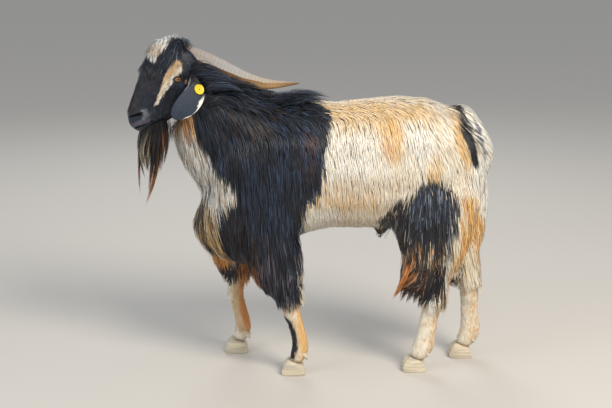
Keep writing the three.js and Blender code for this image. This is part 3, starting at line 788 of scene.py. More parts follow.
def skinMaterial():
    book = MaterialBook("goat skin", paint["ink"])
    place = book.objectPlace()
    tint = book.attribute("tint")
    fine = book.noise(place, 420, 4, 0.6, (1, 1, 0.28))
    blotch = book.noise(place, 60, 3)
    colour = book.mix(0.35 * fine, tint, book.mix(1.0, tint, (0.72, 0.71, 0.70), "MULTIPLY"))
    colour = book.mix(0.30 * blotch, colour, book.mix(1.0, colour, (1.25, 1.2, 1.15), "MULTIPLY"))
    book.set(baseColor=colour, roughness=0.52 + 0.2 * fine, specularIORLevel=0.35, sheenWeight=0.15, sheenRoughness=0.4,
             normal=book.bump(fine + 0.4 * blotch, 0.5, 0.0016))
    return book


skinMaterial().give(skin)


# the coat

coatSettings = {"body": 45000, "long": 11500, "brow": 4500, "crest": 2500, "face": 12000, "legs": 6000, "ears": 1500}
skinTriangles = trianglesOf(skin)
skinPlace = pointsOf(skin)
earFaces = (kinds[skinTriangles[:, 0]] == 1) | (kinds[skinTriangles[:, 0]] == 2)
roundBody = Field.around(skinPlace, skinTriangles[kinds[skinTriangles[:, 0]] == 0])
roundBody.soften(1)
roundEars = Field.around(skinPlace, skinTriangles[earFaces])
print("coat field ready")


def triangleUvs():
    mesh = skin.data
    loops = np.empty(len(mesh.loop_triangles) * 3, np.int32)
    mesh.loop_triangles.foreach_get("loops", loops)
    uv = np.empty(len(mesh.loops) * 2, np.float32)
    mesh.uv_layers["OFBake"].data.foreach_get("uv", uv)
    return uv.reshape(-1, 2)[loops].reshape(-1, 3, 2)


skinUvs = triangleUvs()


def scatter(count, density, dice):        # roots spread over the skin, more where density is higher
    corners = skinPlace[skinTriangles]
    area = 0.5 * np.linalg.norm(np.cross(corners[:, 1] - corners[:, 0], corners[:, 2] - corners[:, 0]), axis=1)
    weight = area * density[skinTriangles].mean(1)
    chosen = dice.choice(len(skinTriangles), count, p=weight / weight.sum())
    r1, r2 = np.sqrt(dice.random(count)), dice.random(count)
    share = np.stack([1 - r1, r1 * (1 - r2), r1 * r2], axis=1)
    return (corners[chosen] * share[:, :, None]).sum(1), (skinUvs[chosen] * share[:, :, None]).sum(1)


lieSettings = [      # centre in x and z, size, pull backwards, pull down: where the coat lies another way
    ((-0.30, 0.80), (0.12, 0.12), 0.45, 1.0),
    ((-0.12, 0.80), (0.12, 0.06), 0.75, 0.7),
    ((-0.14, 0.45), (0.14, 0.25), 0.05, 1.0),
    ((-0.33, 0.50), (0.06, 0.14), 0.30, 1.0),
    ((0.12, 0.66), (0.14, 0.10), 0.12, 1.0),
    ((0.40, 0.74), (0.06, 0.07), 0.42, 1.0),
    ((0.27, 0.50), (0.06, 0.10), -0.20, 1.0),
    ((0.36, 0.48), (0.05, 0.12), 0.02, 1.0),
    ((0.46, 0.50), (0.06, 0.14), 0.22, 1.0),
    ((0.26, 0.28), (0.07, 0.07), -2.00, 1.0),
    ((0.37, 0.31), (0.05, 0.07), -0.05, 1.0),
]


def lieOf(points, outward):               # the way the coat lies, along the surface
    x, y, z = points.T
    back, down, total = 0.15 + 0 * x, 1.0 + 0 * x, 1.0 + 0 * x
    for centre, size, pullBack, pullDown in lieSettings:
        w = 3 * spot(x, z, centre, size, 0, 0.6)
        back, down, total = back + w * pullBack, down + w * pullDown, total + w
    way = np.stack([back / total + 0.09 * wobble(points, 0.10, 11), 0.07 * wobble(points, 0.12, 12), -down / total], axis=1)
    top = ramp(outward[:, 2], 0.72, 0.98)             # along the spine it runs straight back
    way += top[:, None] * np.array([1.2, 0, 0])
    tail = ramp(abs(y + 0.026), 0.06, 0.05) * ramp(z, 0.57, 0.60) * ramp(x, 0.44, 0.46)
    way += tail[:, None] * np.array([0.9, 0, 0])
    h = toHead(points)
    on = headMask(h)
    a, u, o = h.T
    face = np.stack([0.9 - 0.3 * ramp(u, 0.03, 0.08), -0.5 * ramp(u, 0.02, -0.04), np.sign(o) * (0.20 + 0.45 * ramp(u, 0.05, 0.09))], axis=1)
    face[:, 0] -= 1.1 * ramp(a, 0.13, 0.05) * ramp(u, 0.05, 0.01)
    face[:, 1] -= 0.7 * ramp(a, 0.12, 0.05) * ramp(u, 0.08, 0.03)
    way = way + (face @ headFrame * 1.2 - way) * on[:, None]
    way -= (way * outward).sum(1)[:, None] * outward
    return unit(way)


def coatLength(points):
    x, y, z = points.T
    length = 0.050 + 0 * x
    for value, centre, size in [(0.080, (-0.28, 0.76), (0.12, 0.12)), (0.100, (-0.14, 0.50), (0.16, 0.18)),
                                (0.110, (-0.34, 0.50), (0.07, 0.12)), (0.050, (0.15, 0.82), (0.30, 0.03)),
                                (0.095, (0.36, 0.44), (0.12, 0.12)), (0.105, (0.30, 0.30), (0.14, 0.08)),
                                (0.095, (0.48, 0.45), (0.05, 0.18)), (0.050, (0.12, 0.47), (0.16, 0.04))]:
        length += (value - length) * spot(x, z, centre, size, 0, 0.6)
    hem = np.where(x < 0.1, np.where(y < -0.022, 0.224 + 0.010 * ramp(x, -0.07, -0.04), 0.250), np.where(y < -0.022, 0.222, 0.245))
    return np.clip(np.minimum(length, (z - hem) * 1.15 + 0.012), 0.014, None)


def growPaths(roots, length, lift, steps, dice, jitter, field=roundBody, rise=0.40, sweep=(0, 0, 0)):
    place = roots.copy()
    outward = field.at(place)[1]
    heading = unit(lieOf(place, outward) + outward * (rise * (0.6 + 0.8 * dice.random(len(roots))))[:, None] + 1.5 * np.array(sweep))
    paths = [place.copy()]
    stray = dice.normal(size=(len(roots), 3)) * jitter
    for step in range(steps):
        share = (step + 1) / steps
        place = place + heading * (length / steps)[:, None]
        distance, outward = field.at(place)
        wanted = lift * (1 - (1 - share) ** 2) * (1 - 0.15 * share)
        push = np.maximum(wanted - distance, 0)
        pull = np.minimum(wanted * 1.3 + 0.003 - distance, 0) * (distance < 0.05)
        place = place + outward * (push + 0.6 * pull)[:, None]
        paths.append(place.copy())
        lie = lieOf(place, outward)
        fall = ramp(distance, 0.02, 0.06)[:, None]
        lie = lie * (1 - fall) + np.array([0, 0, -1.0]) * fall
        heading = unit(0.35 * heading + lie + stray + (1 - share) * np.array(sweep))
    return np.stack(paths, axis=1)


def clumped(paths, roots, guides, amount):            # draws each hair's tip towards its lock's own line
    tree = KDTree(len(guides))
    for k in range(len(guides)):
        tree.insert(roots[guides[k]], k)
    tree.balance()
    nearest = np.array([guides[tree.find(p)[1]] for p in roots])
    t = np.linspace(0, 1, paths.shape[1]) ** 1.3
    offset = paths[nearest] - paths
    return paths + offset * (t[None, :, None] * amount[:, None, None]), nearest


class Draws:                              # random numbers that a lock's hairs partly share
    def __init__(self, seed, lock, share=0.55):
        self.dice, self.lock, self.share = np.random.default_rng(seed), lock, share

    def __call__(self):
        count = len(self.lock)
        own, common = self.dice.random(count), self.dice.random(count)[self.lock]
        return np.where(self.dice.random(count) < self.share, common, own)


def barrelness(points):                   # 1 on the pale barrel and rump, where the hair lies singly
    x, z = points[:, 0], points[:, 2]
    return ramp(x - np.interp(z, *np.array(blackEdge).T), 0.0, 0.03) * ramp(z, 0.46, 0.50) * (1 - region(x, z, thighDark, 0.02))


def paleness(colour):
    return np.clip(colour @ [0.3, 0.6, 0.1] * 2.2, 0, 1)[:, None]


def buildHairs(name, paths, outwardAt, width, flat, tintRoot, tintTip, uv, material, fade=0.8):
    n, rings = paths.shape[0], paths.shape[1]
    steps = rings - 1
    along = unit(np.gradient(paths, axis=1))
    out = unit(outwardAt - (outwardAt * along).sum(2)[:, :, None] * along)
    across = np.cross(along, out)
    t = np.linspace(0, 1, rings)
    profile = np.interp(t, [0, 0.15, 0.5, 0.8, 1.0], [0.55, 0.95, 1.0, 0.62, 0.0])
    w = width[:, None] * profile[None, :]
    p, q = across * w[:, :, None] * 0.5, out * (w * flat)[:, :, None]
    sides = np.stack([paths + p, paths - p, paths + q], axis=2)[:, :steps]       # three corners to each ring
    vertices = np.concatenate([sides.reshape(n, steps * 3, 3), paths[:, -1:, :]], axis=1)
    per = steps * 3 + 1
    faces = [(0, 2, 1)]
    for s in range(steps - 1):
        for j in range(3):
            i, k = s * 3 + j, s * 3 + (j + 1) % 3
            faces += [(i, k + 3, i + 3), (i, k, k + 3)]
    faces += [((steps - 1) * 3 + j, (steps - 1) * 3 + (j + 1) % 3, per - 1) for j in range(3)]
    faces = (np.array(faces)[None] + (np.arange(n) * per)[:, None, None]).reshape(-1, 3)
    piece = newPiece(name, vertices.reshape(-1, 3), faces)
    piece.data.polygons.foreach_set("use_smooth", np.ones(len(faces), bool))
    tt = np.concatenate([np.repeat(t[:steps], 3), [1.0]])
    blend = tt[None, :, None] ** fade
    setTint(piece, (tintRoot[:, None] * (1 - blend) + tintTip[:, None] * blend).reshape(-1, 3))
    s = np.concatenate([np.tile([1.0, -1.0, 0.0], steps), [0.0]])
    patch = uv[:, None] + 0.0014 * np.stack([s * 0.9, tt * 2 - 1], axis=1)[None]
    piece.data.uv_layers.new(name="OFBake").data.foreach_set("uv", patch.reshape(-1, 2)[faces.ravel()].astype(np.float32).ravel())
    around = np.concatenate([np.stack([across, -across, out], axis=2)[:, :steps].reshape(n, steps * 3, 3), out[:, -1:]], axis=1)
    even = 0.62 + 0.22 * paleness(tintTip)[:, :, None]
    lit = np.concatenate([np.repeat(outwardAt[:, :steps, None], 3, axis=2).reshape(n, steps * 3, 3), outwardAt[:, -1:]], axis=1)
    piece.data.normals_split_custom_set_from_vertices(unit(even * lit + (1 - even) * around).reshape(-1, 3))     # lit as one coat
    material.give(piece)
    return piece


def hairMaterial(name, colour):
    book = MaterialBook(name, colour)
    fine = book.noise(book.objectPlace(), 900, 2, 0.5)
    tint = book.attribute("tint")
    book.set(baseColor=book.mix(0.18 * fine, tint, book.mix(1.0, tint, (0.65, 0.65, 0.67), "MULTIPLY")), roughness=0.42,
             specularIORLevel=0.40, sheenWeight=0.10, sheenRoughness=0.35)
    return book


coatMaterial = hairMaterial("goat hair", paint["cream"])
coatPieces = []
hairCount = 0


def growCoat(name, count, density, steps, seed, lengthOf, liftOf, width, clump=7, hold=(0.3, 0.4), jitter=0.05, rise=0.4,
             colourOf=markings, field=roundBody, groups=None, shades=(0.05, 0.28), sweep=(0, 0, 0)):
    global hairCount
    dice = np.random.default_rng(seed)
    roots, uv = scatter(count, density, dice)
    length = lengthOf(roots) * (0.75 + 0.5 * dice.random(count))
    paths = growPaths(roots, length, liftOf(roots) * (0.30 + 0.85 * dice.random(count)), steps, dice, jitter, field, rise, sweep)
    guides = dice.choice(count, count // clump, replace=False)
    single = barrelness(roots)
    paths, nearest = clumped(paths, roots, guides, (hold[0] + hold[1] * dice.random(count)) * (1 - 0.7 * single))
    outward = np.stack([field.at(paths[:, k])[1] for k in range(steps + 1)], axis=1)
    middle = paths[:, steps // 2 + steps % 2]
    colour = colourOf(0.15 * roots + 0.85 * middle, Draws(seed + 1, nearest, 0.55 - 0.40 * single))
    pale = paleness(colour)
    spread = shades[1] + (shades[0] - shades[1]) * pale
    colour = colour * np.exp(spread * (0.7 * dice.normal(size=(count, 1)) + 0.7 * (1 - single[:, None]) * dice.normal(size=count)[nearest][:, None]))
    # roots darkened as painted shade deep in the coat; tips a little lighter
    root, tip = colour * (0.55 + 0.43 * pale), colour * (1.15 - 0.12 * pale)
    wide = width * (0.75 + 0.5 * dice.random(count)) * (1 - 0.22 * pale[:, 0])
    left = np.ones(count, bool)
    for part, mask in (groups(roots) if groups else {name: left}).items():
        mine = np.where(mask & left)[0]
        left[mine] = False
        limit = 199000 // (6 * steps - 2)
        for extra, start in enumerate(range(0, len(mine), limit)):
            m = mine[start:start + limit]
            coatPieces.append(buildHairs(part if extra == 0 else f"{part}_{extra + 1}", paths[m], outward[m], wide[m],
                                         0.40 - 0.24 * pale[m], root[m], tip[m], uv[m], coatMaterial))
    hairCount += count * (6 * steps - 2)
    print(name, count, "hairs,", hairCount, "triangles in all")


hSkin = toHead(skinPlace)
onHead = headMask(hSkin)
onBrow = ramp(hSkin[:, 1], 0.035, 0.055) * ramp(hSkin[:, 0], 0.155, 0.110) * ramp(hSkin[:, 0], -0.050, -0.035)
body = (kinds == 0) * (1 - onHead)
sx, sy, sz = skinPlace.T
longPart = np.maximum.reduce([
    ramp(sz, 0.46, 0.40) * ramp(abs(sy + 0.022), 0.03, 0.05), region(sx, sz, chestPart, 0.03),
    region(sx, sz, thighDark, 0.03), region(sx, sz, rearOrange, 0.03), spot(sx, sz, (-0.14, 0.42), (0.14, 0.16), 0, 0.4)])
purse = ramp(sz, 0.50, 0.47) * ramp(abs(sy + 0.0223), 0.050, 0.044) * ramp(sx, 0.155, 0.175) * ramp(sx, 0.46, 0.44)
aboveHem = ramp(sz, 0.236, 0.250)


def bodyGroups(roots):
    x, y = roots[:, 0], roots[:, 1]
    return {"coat_neck_left": (x < -0.13) & (y < -0.0223), "coat_neck_right": x < -0.13,
            "coat_shoulder_left": (x < 0.06) & (y < -0.0223), "coat_shoulder_right": x < 0.06,
            "coat_barrel_left": (x < 0.27) & (y < -0.0223), "coat_barrel_right": x < 0.27,
            "coat_rump_left": y < -0.0223, "coat_rump_right": y > -9}


def longGroups(roots):
    x, y = roots[:, 0], roots[:, 1]
    return {"curtain_left": (x < 0.1) & (y < -0.0223), "curtain_right": x < 0.1, "breeches_left": y < -0.0223, "breeches_right": y > -9}


def bodyDepth(roots):
    return coatDepth(*roots.T)


growCoat("coat", coatSettings["body"], body * aboveHem * (1 - 0.55 * longPart) * (1 - 0.9 * purse), 3, 21, coatLength, bodyDepth, 0.0026,
         groups=bodyGroups)
growCoat("drapes", coatSettings["long"], body * aboveHem * longPart * (1 - purse), 5, 22, lambda p: coatLength(p) * 1.1, bodyDepth, 0.0028,
         clump=9, hold=(0.40, 0.45), jitter=0.06, groups=longGroups)


def browEnd(roots):                       # 1 where the tuft thins out down the forehead
    return ramp(toHead(roots)[:, 0], 0.070, 0.130)


growCoat("brow_tuft", coatSettings["brow"], onBrow * (kinds == 0), 4, 23, lambda p: 0.042 - 0.014 * browEnd(p), lambda p: 0.028 - 0.020 * browEnd(p), 0.0020,
         hold=(0.2, 0.4), rise=1.1, jitter=0.10)
crestPart = body * ramp(sx, -0.37, -0.33) * ramp(sx, -0.03, -0.10) * region(sy, sz, [(-0.11, 0.82), (-0.09, 1.0), (0.05, 1.0), (0.07, 0.82)], 0.02)
growCoat("crest", coatSettings["crest"], crestPart, 5, 24, lambda p: 0.110 + 0 * p[:, 0],
         lambda p: 0.024 + 0.026 * ramp(p[:, 2], 0.82, 0.88) * ramp(p[:, 0], -0.10, -0.22), 0.0024, rise=0.5, jitter=0.08,
         sweep=(0.4, 0, 1.1))
eyeClear = ramp(np.hypot(hSkin[:, 0] - 0.114, hSkin[:, 1] + 0.0105), 0.0125, 0.016)
holes = band(hSkin[:, 0], hSkin[:, 1], [(p, q, w * 2.6) for p, q, w in faceSettings["nostril"]], 0.3)
holes = np.maximum(holes, band(hSkin[:, 0], hSkin[:, 1], [(p, q, w * 3.0) for p, q, w in faceSettings["mouth"]], 0.3))
noseClear = ramp(hSkin[:, 0], 0.285, 0.250) * (1 - holes)
faceDensity = onHead * (kinds == 0) * eyeClear * noseClear * ramp(hSkin[:, 1], 0.075, 0.05)
growCoat("coat_face", coatSettings["face"], faceDensity, 2, 31, lambda p: 0.013 + 0 * p[:, 0], lambda p: 0.0024 + 0 * p[:, 0], 0.0013,
         hold=(0.1, 0.3), jitter=0.10, rise=0.25)
growCoat("coat_legs", coatSettings["legs"], ramp(sz, 0.27, 0.245) * (kinds == 0) * ramp(sz, 0.030, 0.036), 2, 32,
         lambda p: 0.012 + 0 * p[:, 0], lambda p: 0.0016 + 0 * p[:, 0], 0.0012, hold=(0.1, 0.2), jitter=0.05, rise=0.20, shades=(0.06, 0.2))
earHair = ((kinds == 1) | (kinds == 2)) * (0.35 + 2.5 * ramp(hSkin[:, 0], 0.112, 0.095))
growCoat("coat_ears", coatSettings["ears"], earHair, 2, 33, lambda p: 0.008 + 0.018 * ramp(toHead(p)[:, 0], 0.110, 0.085),
         lambda p: 0.0016 + 0.004 * ramp(toHead(p)[:, 0], 0.110, 0.085), 0.0013, hold=(0.1, 0.2), jitter=0.08, rise=0.25,
         colourOf=earColour, field=roundEars)

# listed locks, each with its root, middle, tip, thickness, hairs and two colours
beardLocks = [
    ((-0.490, -0.096, 0.772), (-0.518, -0.096, 0.690), (-0.522, -0.096, 0.543), 0.0022, 60, "coal", "rust"),
    ((-0.490, -0.102, 0.772), (-0.515, -0.102, 0.700), (-0.504, -0.098, 0.606), 0.0045, 120, "coal", "umber"),
    ((-0.486, -0.112, 0.770), (-0.508, -0.112, 0.695), (-0.498, -0.104, 0.632), 0.0036, 110, "coal", "cream"),
    ((-0.478, -0.112, 0.774), (-0.498, -0.112, 0.690), (-0.492, -0.102, 0.624), 0.0034, 60, "coal", "umber"),
    ((-0.478, -0.114, 0.770), (-0.491, -0.114, 0.695), (-0.490, -0.104, 0.640), 0.0028, 80, "coal", "beige"),
    ((-0.470, -0.102, 0.776), (-0.480, -0.104, 0.670), (-0.496, -0.100, 0.545), 0.0026, 70, "coal", "rust"),
    ((-0.466, -0.114, 0.776), (-0.476, -0.112, 0.690), (-0.482, -0.104, 0.606), 0.0044, 130, "coal", "umber"),
    ((-0.462, -0.104, 0.778), (-0.466, -0.106, 0.655), (-0.508, -0.100, 0.520), 0.0024, 80, "coal", "orange"),
    ((-0.458, -0.112, 0.778), (-0.462, -0.112, 0.690), (-0.478, -0.106, 0.600), 0.0042, 120, "coal", "umber"),
    ((-0.452, -0.104, 0.780), (-0.453, -0.104, 0.705), (-0.462, -0.100, 0.622), 0.0045, 140, "coal", "umber"),
    ((-0.448, -0.112, 0.780), (-0.446, -0.110, 0.715), (-0.458, -0.102, 0.632), 0.0036, 70, "coal", "rust"),
    ((-0.444, -0.100, 0.782), (-0.438, -0.098, 0.720), (-0.450, -0.098, 0.645), 0.0038, 110, "coal", "umber"),
    ((-0.456, -0.084, 0.780), (-0.464, -0.080, 0.700), (-0.474, -0.086, 0.625), 0.0065, 130, "coal", "umber"),
    ((-0.480, -0.086, 0.776), (-0.496, -0.080, 0.700), (-0.498, -0.088, 0.625), 0.0065, 130, "coal", "umber"),
]
# the blue tips of the nape locks are painted sheen
napeLocks = [
    ((-0.352, -0.095, 0.930), (-0.314, -0.104, 0.939), (-0.266, -0.106, 0.920), 0.0060, 150, "ink", "coal"),
    ((-0.345, -0.105, 0.915), (-0.302, -0.112, 0.928), (-0.238, -0.112, 0.904), 0.0080, 200, "ink", "ink"),
    ((-0.335, -0.110, 0.900), (-0.290, -0.120, 0.914), (-0.222, -0.120, 0.888), 0.0090, 200, "ink", "blue"),
    ((-0.300, -0.105, 0.890), (-0.250, -0.114, 0.904), (-0.188, -0.116, 0.884), 0.0075, 180, "ink", "umber"),
    ((-0.265, -0.105, 0.880), (-0.215, -0.114, 0.892), (-0.150, -0.114, 0.876), 0.0070, 160, "ink", "ink"),
    ((-0.325, -0.115, 0.880), (-0.275, -0.126, 0.892), (-0.205, -0.126, 0.868), 0.0095, 180, "ink", "blue"),
]
breechLocks = [       # the same in x and z alone, on the left thigh
    ((0.270, 0.355), (0.264, 0.300), (0.237, 0.234), 0.0045, 120, "rust", "orange"),
    ((0.277, 0.345), (0.274, 0.285), (0.247, 0.226), 0.0060, 140, "umber", "orange"),
    ((0.288, 0.350), (0.287, 0.285), (0.262, 0.220), 0.0070, 160, "umber", "maroon"),
    ((0.302, 0.350), (0.302, 0.285), (0.280, 0.217), 0.0070, 160, "ink", "maroon"),
    ((0.318, 0.350), (0.318, 0.285), (0.301, 0.217), 0.0070, 160, "ink", "umber"),
    ((0.336, 0.340), (0.336, 0.285), (0.324, 0.219), 0.0070, 140, "ink", "ink"),
    ((0.300, 0.410), (0.310, 0.345), (0.282, 0.270), 0.0025, 36, "gold", "orange"),
    ((0.318, 0.415), (0.330, 0.350), (0.308, 0.275), 0.0025, 36, "cream", "gold"),
    ((0.335, 0.420), (0.349, 0.360), (0.335, 0.285), 0.0025, 36, "grey", "beige"),
    ((0.352, 0.430), (0.368, 0.360), (0.360, 0.280), 0.0025, 36, "slate", "beige"),
]
lockSettings = {"steps": 6, "thin": 0.0030, "rootSpread": 0.0065, "tipSpread": 0.0014, "wave": 0.0018}


def nearSide(x, z, gap, otherwise):       # how far out the left side of the skin is at x and z
    y = np.linspace(-0.24, 0.0, 121)
    touching = np.where(roundBody.at(np.stack([x + 0 * y, y, z + 0 * y], axis=1))[0] < gap)[0]
    return y[touching[0]] if len(touching) else otherwise


def onThigh(lock):
    top, middle, tip = lock[:3]
    yTop = nearSide(*top, 0.002, -0.12)
    yMiddle = nearSide(*middle, 0.010, yTop)
    places = [(top[0], yTop, top[1]), (middle[0], yMiddle, middle[1]), (tip[0], nearSide(*tip, 0.010, yMiddle + 0.010), tip[1])]
    return (*places, *lock[3:])


def makeLocks(name, locks, density, seed, settled, width, fade):
    size = lockSettings
    dice = np.random.default_rng(seed)
    steps = size["steps"]
    t = np.linspace(0, 1, steps + 1)[None, :, None]
    skinRoots, skinRootUvs = scatter(3000, density, dice)
    tree = KDTree(len(skinRoots))
    for k, place in enumerate(skinRoots):
        tree.insert(place, k)
    tree.balance()
    paths, outs, roots, tips = [], [], [], []
    for top, middle, tip, thick, count, first, last in locks:
        top, middle, tip = (np.array(v) for v in (top, middle, tip))
        control = 2 * middle - 0.5 * (top + tip)
        off = dice.normal(size=(count, 1, 3)) * ([1, 1, 0.2] if not settled else [1, 0.5, 1])
        least = 0.68 if thick < size["thin"] else 0.45
        reach = (least + (1.02 - least) * dice.random((count, 1, 1)) ** 1.5) * t
        start = top + off * max(size["rootSpread"], thick)
        if settled:
            distance, outward = roundBody.at(start[:, 0])
            start = (start[:, 0] - outward * distance[:, None])[:, None]
        line = (1 - reach) ** 2 * start + 2 * reach * (1 - reach) * (control + off * thick) + reach ** 2 * (tip + off * size["tipSpread"])
        line += size["wave"] * np.sin(5 * reach + dice.uniform(0, 6.28, (count, 1, 1))) * [1, 0.6, 0] * t
        paths.append(line)
        outs.append(np.repeat(unit(off + [0, -1.5 * settled, 1e-4]), steps + 1, axis=1))
        shade = np.exp(0.25 * dice.normal(size=(count, 1)))
        # lock roots darkened as painted shade deep in the coat
        roots.append(paint[first] * shade * 0.75)
        tips.append(np.where(dice.random((count, 1)) < 0.75, paint[last], paint[first]) * shade)
    paths, outs, roots, tips = (np.concatenate(v) for v in (paths, outs, roots, tips))
    uvs = skinRootUvs[[tree.find(place)[1] for place in paths[:, 0]]]
    piece = buildHairs(name, paths, outs, width * (0.7 + 0.6 * dice.random(len(paths))), 0.4, roots, tips, uvs, coatMaterial, fade)
    coatPieces.append(piece)
    return piece


chin = onHead * ramp(hSkin[:, 0], 0.19, 0.21) * ramp(hSkin[:, 1], 0.0, -0.01)
beard = makeLocks("goat_beard", beardLocks, chin, 41, 0, 0.0016, 2.2)
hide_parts("beard")
makeLocks("nape_locks", napeLocks, body * ramp(sx, -0.37, -0.35) * ramp(sx, -0.2, -0.25) * ramp(sz, 0.84, 0.86), 42, 1, 0.0022, 1.2)
makeLocks("breech_tips", [onThigh(lock) for lock in breechLocks], body * region(sx, sz, thighDark, 0.01) * (sy < -0.03), 43, 1, 0.0022, 1.2)
print("coat done")


# eyes

eyeSettings = {"segments": 48, "rings": 32, "iris": 0.0082, "cornea": 0.0010}


def makeEye(side):
    s = 1 if side == "left" else -1
    f = faceSettings
    centre = fromHead([f["eye"][0], f["eye"][1], s * f["eye"][2]])
    bpy.ops.object.select_all(action="DESELECT")
    bpy.ops.mesh.primitive_uv_sphere_add(segments=eyeSettings["segments"], ring_count=eyeSettings["rings"], radius=f["eyeRadius"])
    ball = bpy.context.object
    ball.name = "eyeball_" + side
    tu, tv = f["slitWay"]
    look = unit(np.array([f["eyeSlit"][0] - f["eye"][0], f["eyeSlit"][1] - f["eye"][1], s * 0.0145]))
    sideWay = unit(np.array([tu, tv, 0]) - (np.array([tu, tv, 0]) @ look) * look)
    upWay = np.cross(look, sideWay)
    basis = np.array([sideWay, upWay, look])
    local = pointsOf(ball)
    place = local / f["eyeRadius"]
    setPoints(ball, centre + (local @ basis) @ headFrame)
    attribute = ball.data.attributes.new("gaze", "FLOAT_VECTOR", "POINT")
    attribute.data.foreach_set("vector", place.astype(np.float32).ravel())
    only(ball)
    bpy.ops.object.mode_set(mode="EDIT")
    bpy.ops.mesh.select_all(action="SELECT")
    bpy.ops.mesh.normals_make_consistent(inside=False)
    bpy.ops.object.mode_set(mode="OBJECT")
    ball.data.polygons.foreach_set("use_smooth", np.ones(len(ball.data.polygons), bool))
    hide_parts("eye_" + side)
    return ball


def eyeMaterial():
    book = MaterialBook("goat eye", (0.4, 0.2, 0.06))
    gaze = book.attribute("gaze", 1)
    parts = book.tree.nodes.new("ShaderNodeSeparateXYZ")
    book.plug(parts.inputs[0], gaze)
    gx, gy, gz = (Wire(book, parts.outputs[k]) for k in range(3))
    reach = (gx * gx + gy * gy) ** 0.5
    iris = book.node("ShaderNodeValToRGB", {"stops": [(0.0, (0.14, 0.055, 0.012)), (0.42, (0.30, 0.13, 0.03)), (0.56, (0.10, 0.04, 0.012)),
                                                      (0.64, (0.02, 0.012, 0.01)), (1.0, (0.012, 0.008, 0.008))]}, {"Fac": reach})
    rays = book.noise(gaze, 9, 3, 0.6)
    iris = book.mix(0.35 * rays, iris, (0.42, 0.22, 0.07))
    iris = book.mix(reach.maths("GREATER_THAN", 0.60), iris, (0.015, 0.010, 0.009))
    px, py = gx / 0.36, gy / 0.13
    pupil = (px * px + py * py).maths("LESS_THAN", 1.0)
    book.set(baseColor=book.mix(pupil, iris, (0.003, 0.003, 0.004)), roughness=0.06, specularIORLevel=0.6, coatWeight=1.0,
             coatRoughness=0.02)
    return book


eyeBook = eyeMaterial()
for side in ("left", "right"):
    ball = makeEye(side)
    eyeBook.give(ball)
    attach(ball, "root")
print("eyes set")


# horns, claws and tag

hornSettings = {"levels": 3, "keel": 0.13, "spacing": 0.009}


def makeHorn(side):
    horn = copyOf("horn_" + side, "horn_fine_" + side)
    applyModifier(horn, "SUBSURF", levels=hornSettings["levels"], render_levels=hornSettings["levels"])
    horn.data.polygons.foreach_set("use_smooth", np.ones(len(horn.data.polygons), bool))
    points = pointsOf(horn)
    h = toHead(points)
    s = 1 if side == "left" else -1
    line = np.array([(45, 25, 16), (24, -28, 28), (4, -95, 49), (-13, -156, 68), (-43, -215, 89), (-75, -251, 105), (-110, -286, 121)]) / 1000
    line[:, 2] *= s
    steps = np.linalg.norm(np.diff(line, axis=0), axis=1)
    marks = np.concatenate([[0], np.cumsum(steps)])
    best, run, axisAt = np.full(len(h), 9.0), np.zeros(len(h)), np.zeros_like(h)
    for k in range(len(line) - 1):
        d = line[k + 1] - line[k]
        t = np.clip(((h - line[k]) @ d) / (d @ d), 0, 1)
        near = line[k] + t[:, None] * d
        gap = np.linalg.norm(h - near, axis=1)
        better = gap < best
        best = np.where(better, gap, best)
        run = np.where(better, marks[k] + t * steps[k], run)
        axisAt = np.where(better[:, None], near, axisAt)
    away = h - axisAt
    girth = np.linalg.norm(away, axis=1)
    way = unit(np.gradient(line, axis=0))
    tangent = unit(np.stack([np.interp(run, marks, way[:, k]) for k in range(3)], axis=1))
    out = unit(np.array([0, 0, s * 1.0]) - tangent * tangent[:, 2:3] * s)          # across the horn, outwards and then upwards
    up = np.cross(tangent, out) * s
    up *= np.where((up @ headFrame)[:, 2:3] > 0, 1, -1)
    twist = np.interp(run / marks[-1], [0, 0.35, 1.0], [-0.45, -0.10, 0.75])       # where the keel runs, from low on the side to the top
    angle = np.arctan2((away * up).sum(1), (away * out).sum(1)) - twist
    ridge = np.exp(-(angle / 0.30) ** 2) - 0.45 * np.exp(-((angle - 0.75) / 0.4) ** 2) - 0.45 * np.exp(-((angle + 0.75) / 0.4) ** 2)
    growth = 0.010 * np.sin(run / hornSettings["spacing"] * 2 * math.pi + 1.5 * np.sin(run * 90))
    h = h + away * (hornSettings["keel"] * ridge + growth * (1 - run / marks[-1]))[:, None]
    setPoints(horn, fromHead(h))
    # which side of the keel a point lies on, used to paint the upper face lit and the lower face in shade
    keel = np.sin(angle) * np.where(np.cos(angle) > -0.3, 1, 0.2)
    attribute = horn.data.attributes.new("run", "FLOAT", "POINT")
    attribute.data.foreach_set("value", (run / marks[-1]).astype(np.float32))
    attribute = horn.data.attributes.new("face", "FLOAT", "POINT")
    attribute.data.foreach_set("value", keel.astype(np.float32))
    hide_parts("horn_" + side)
    return horn


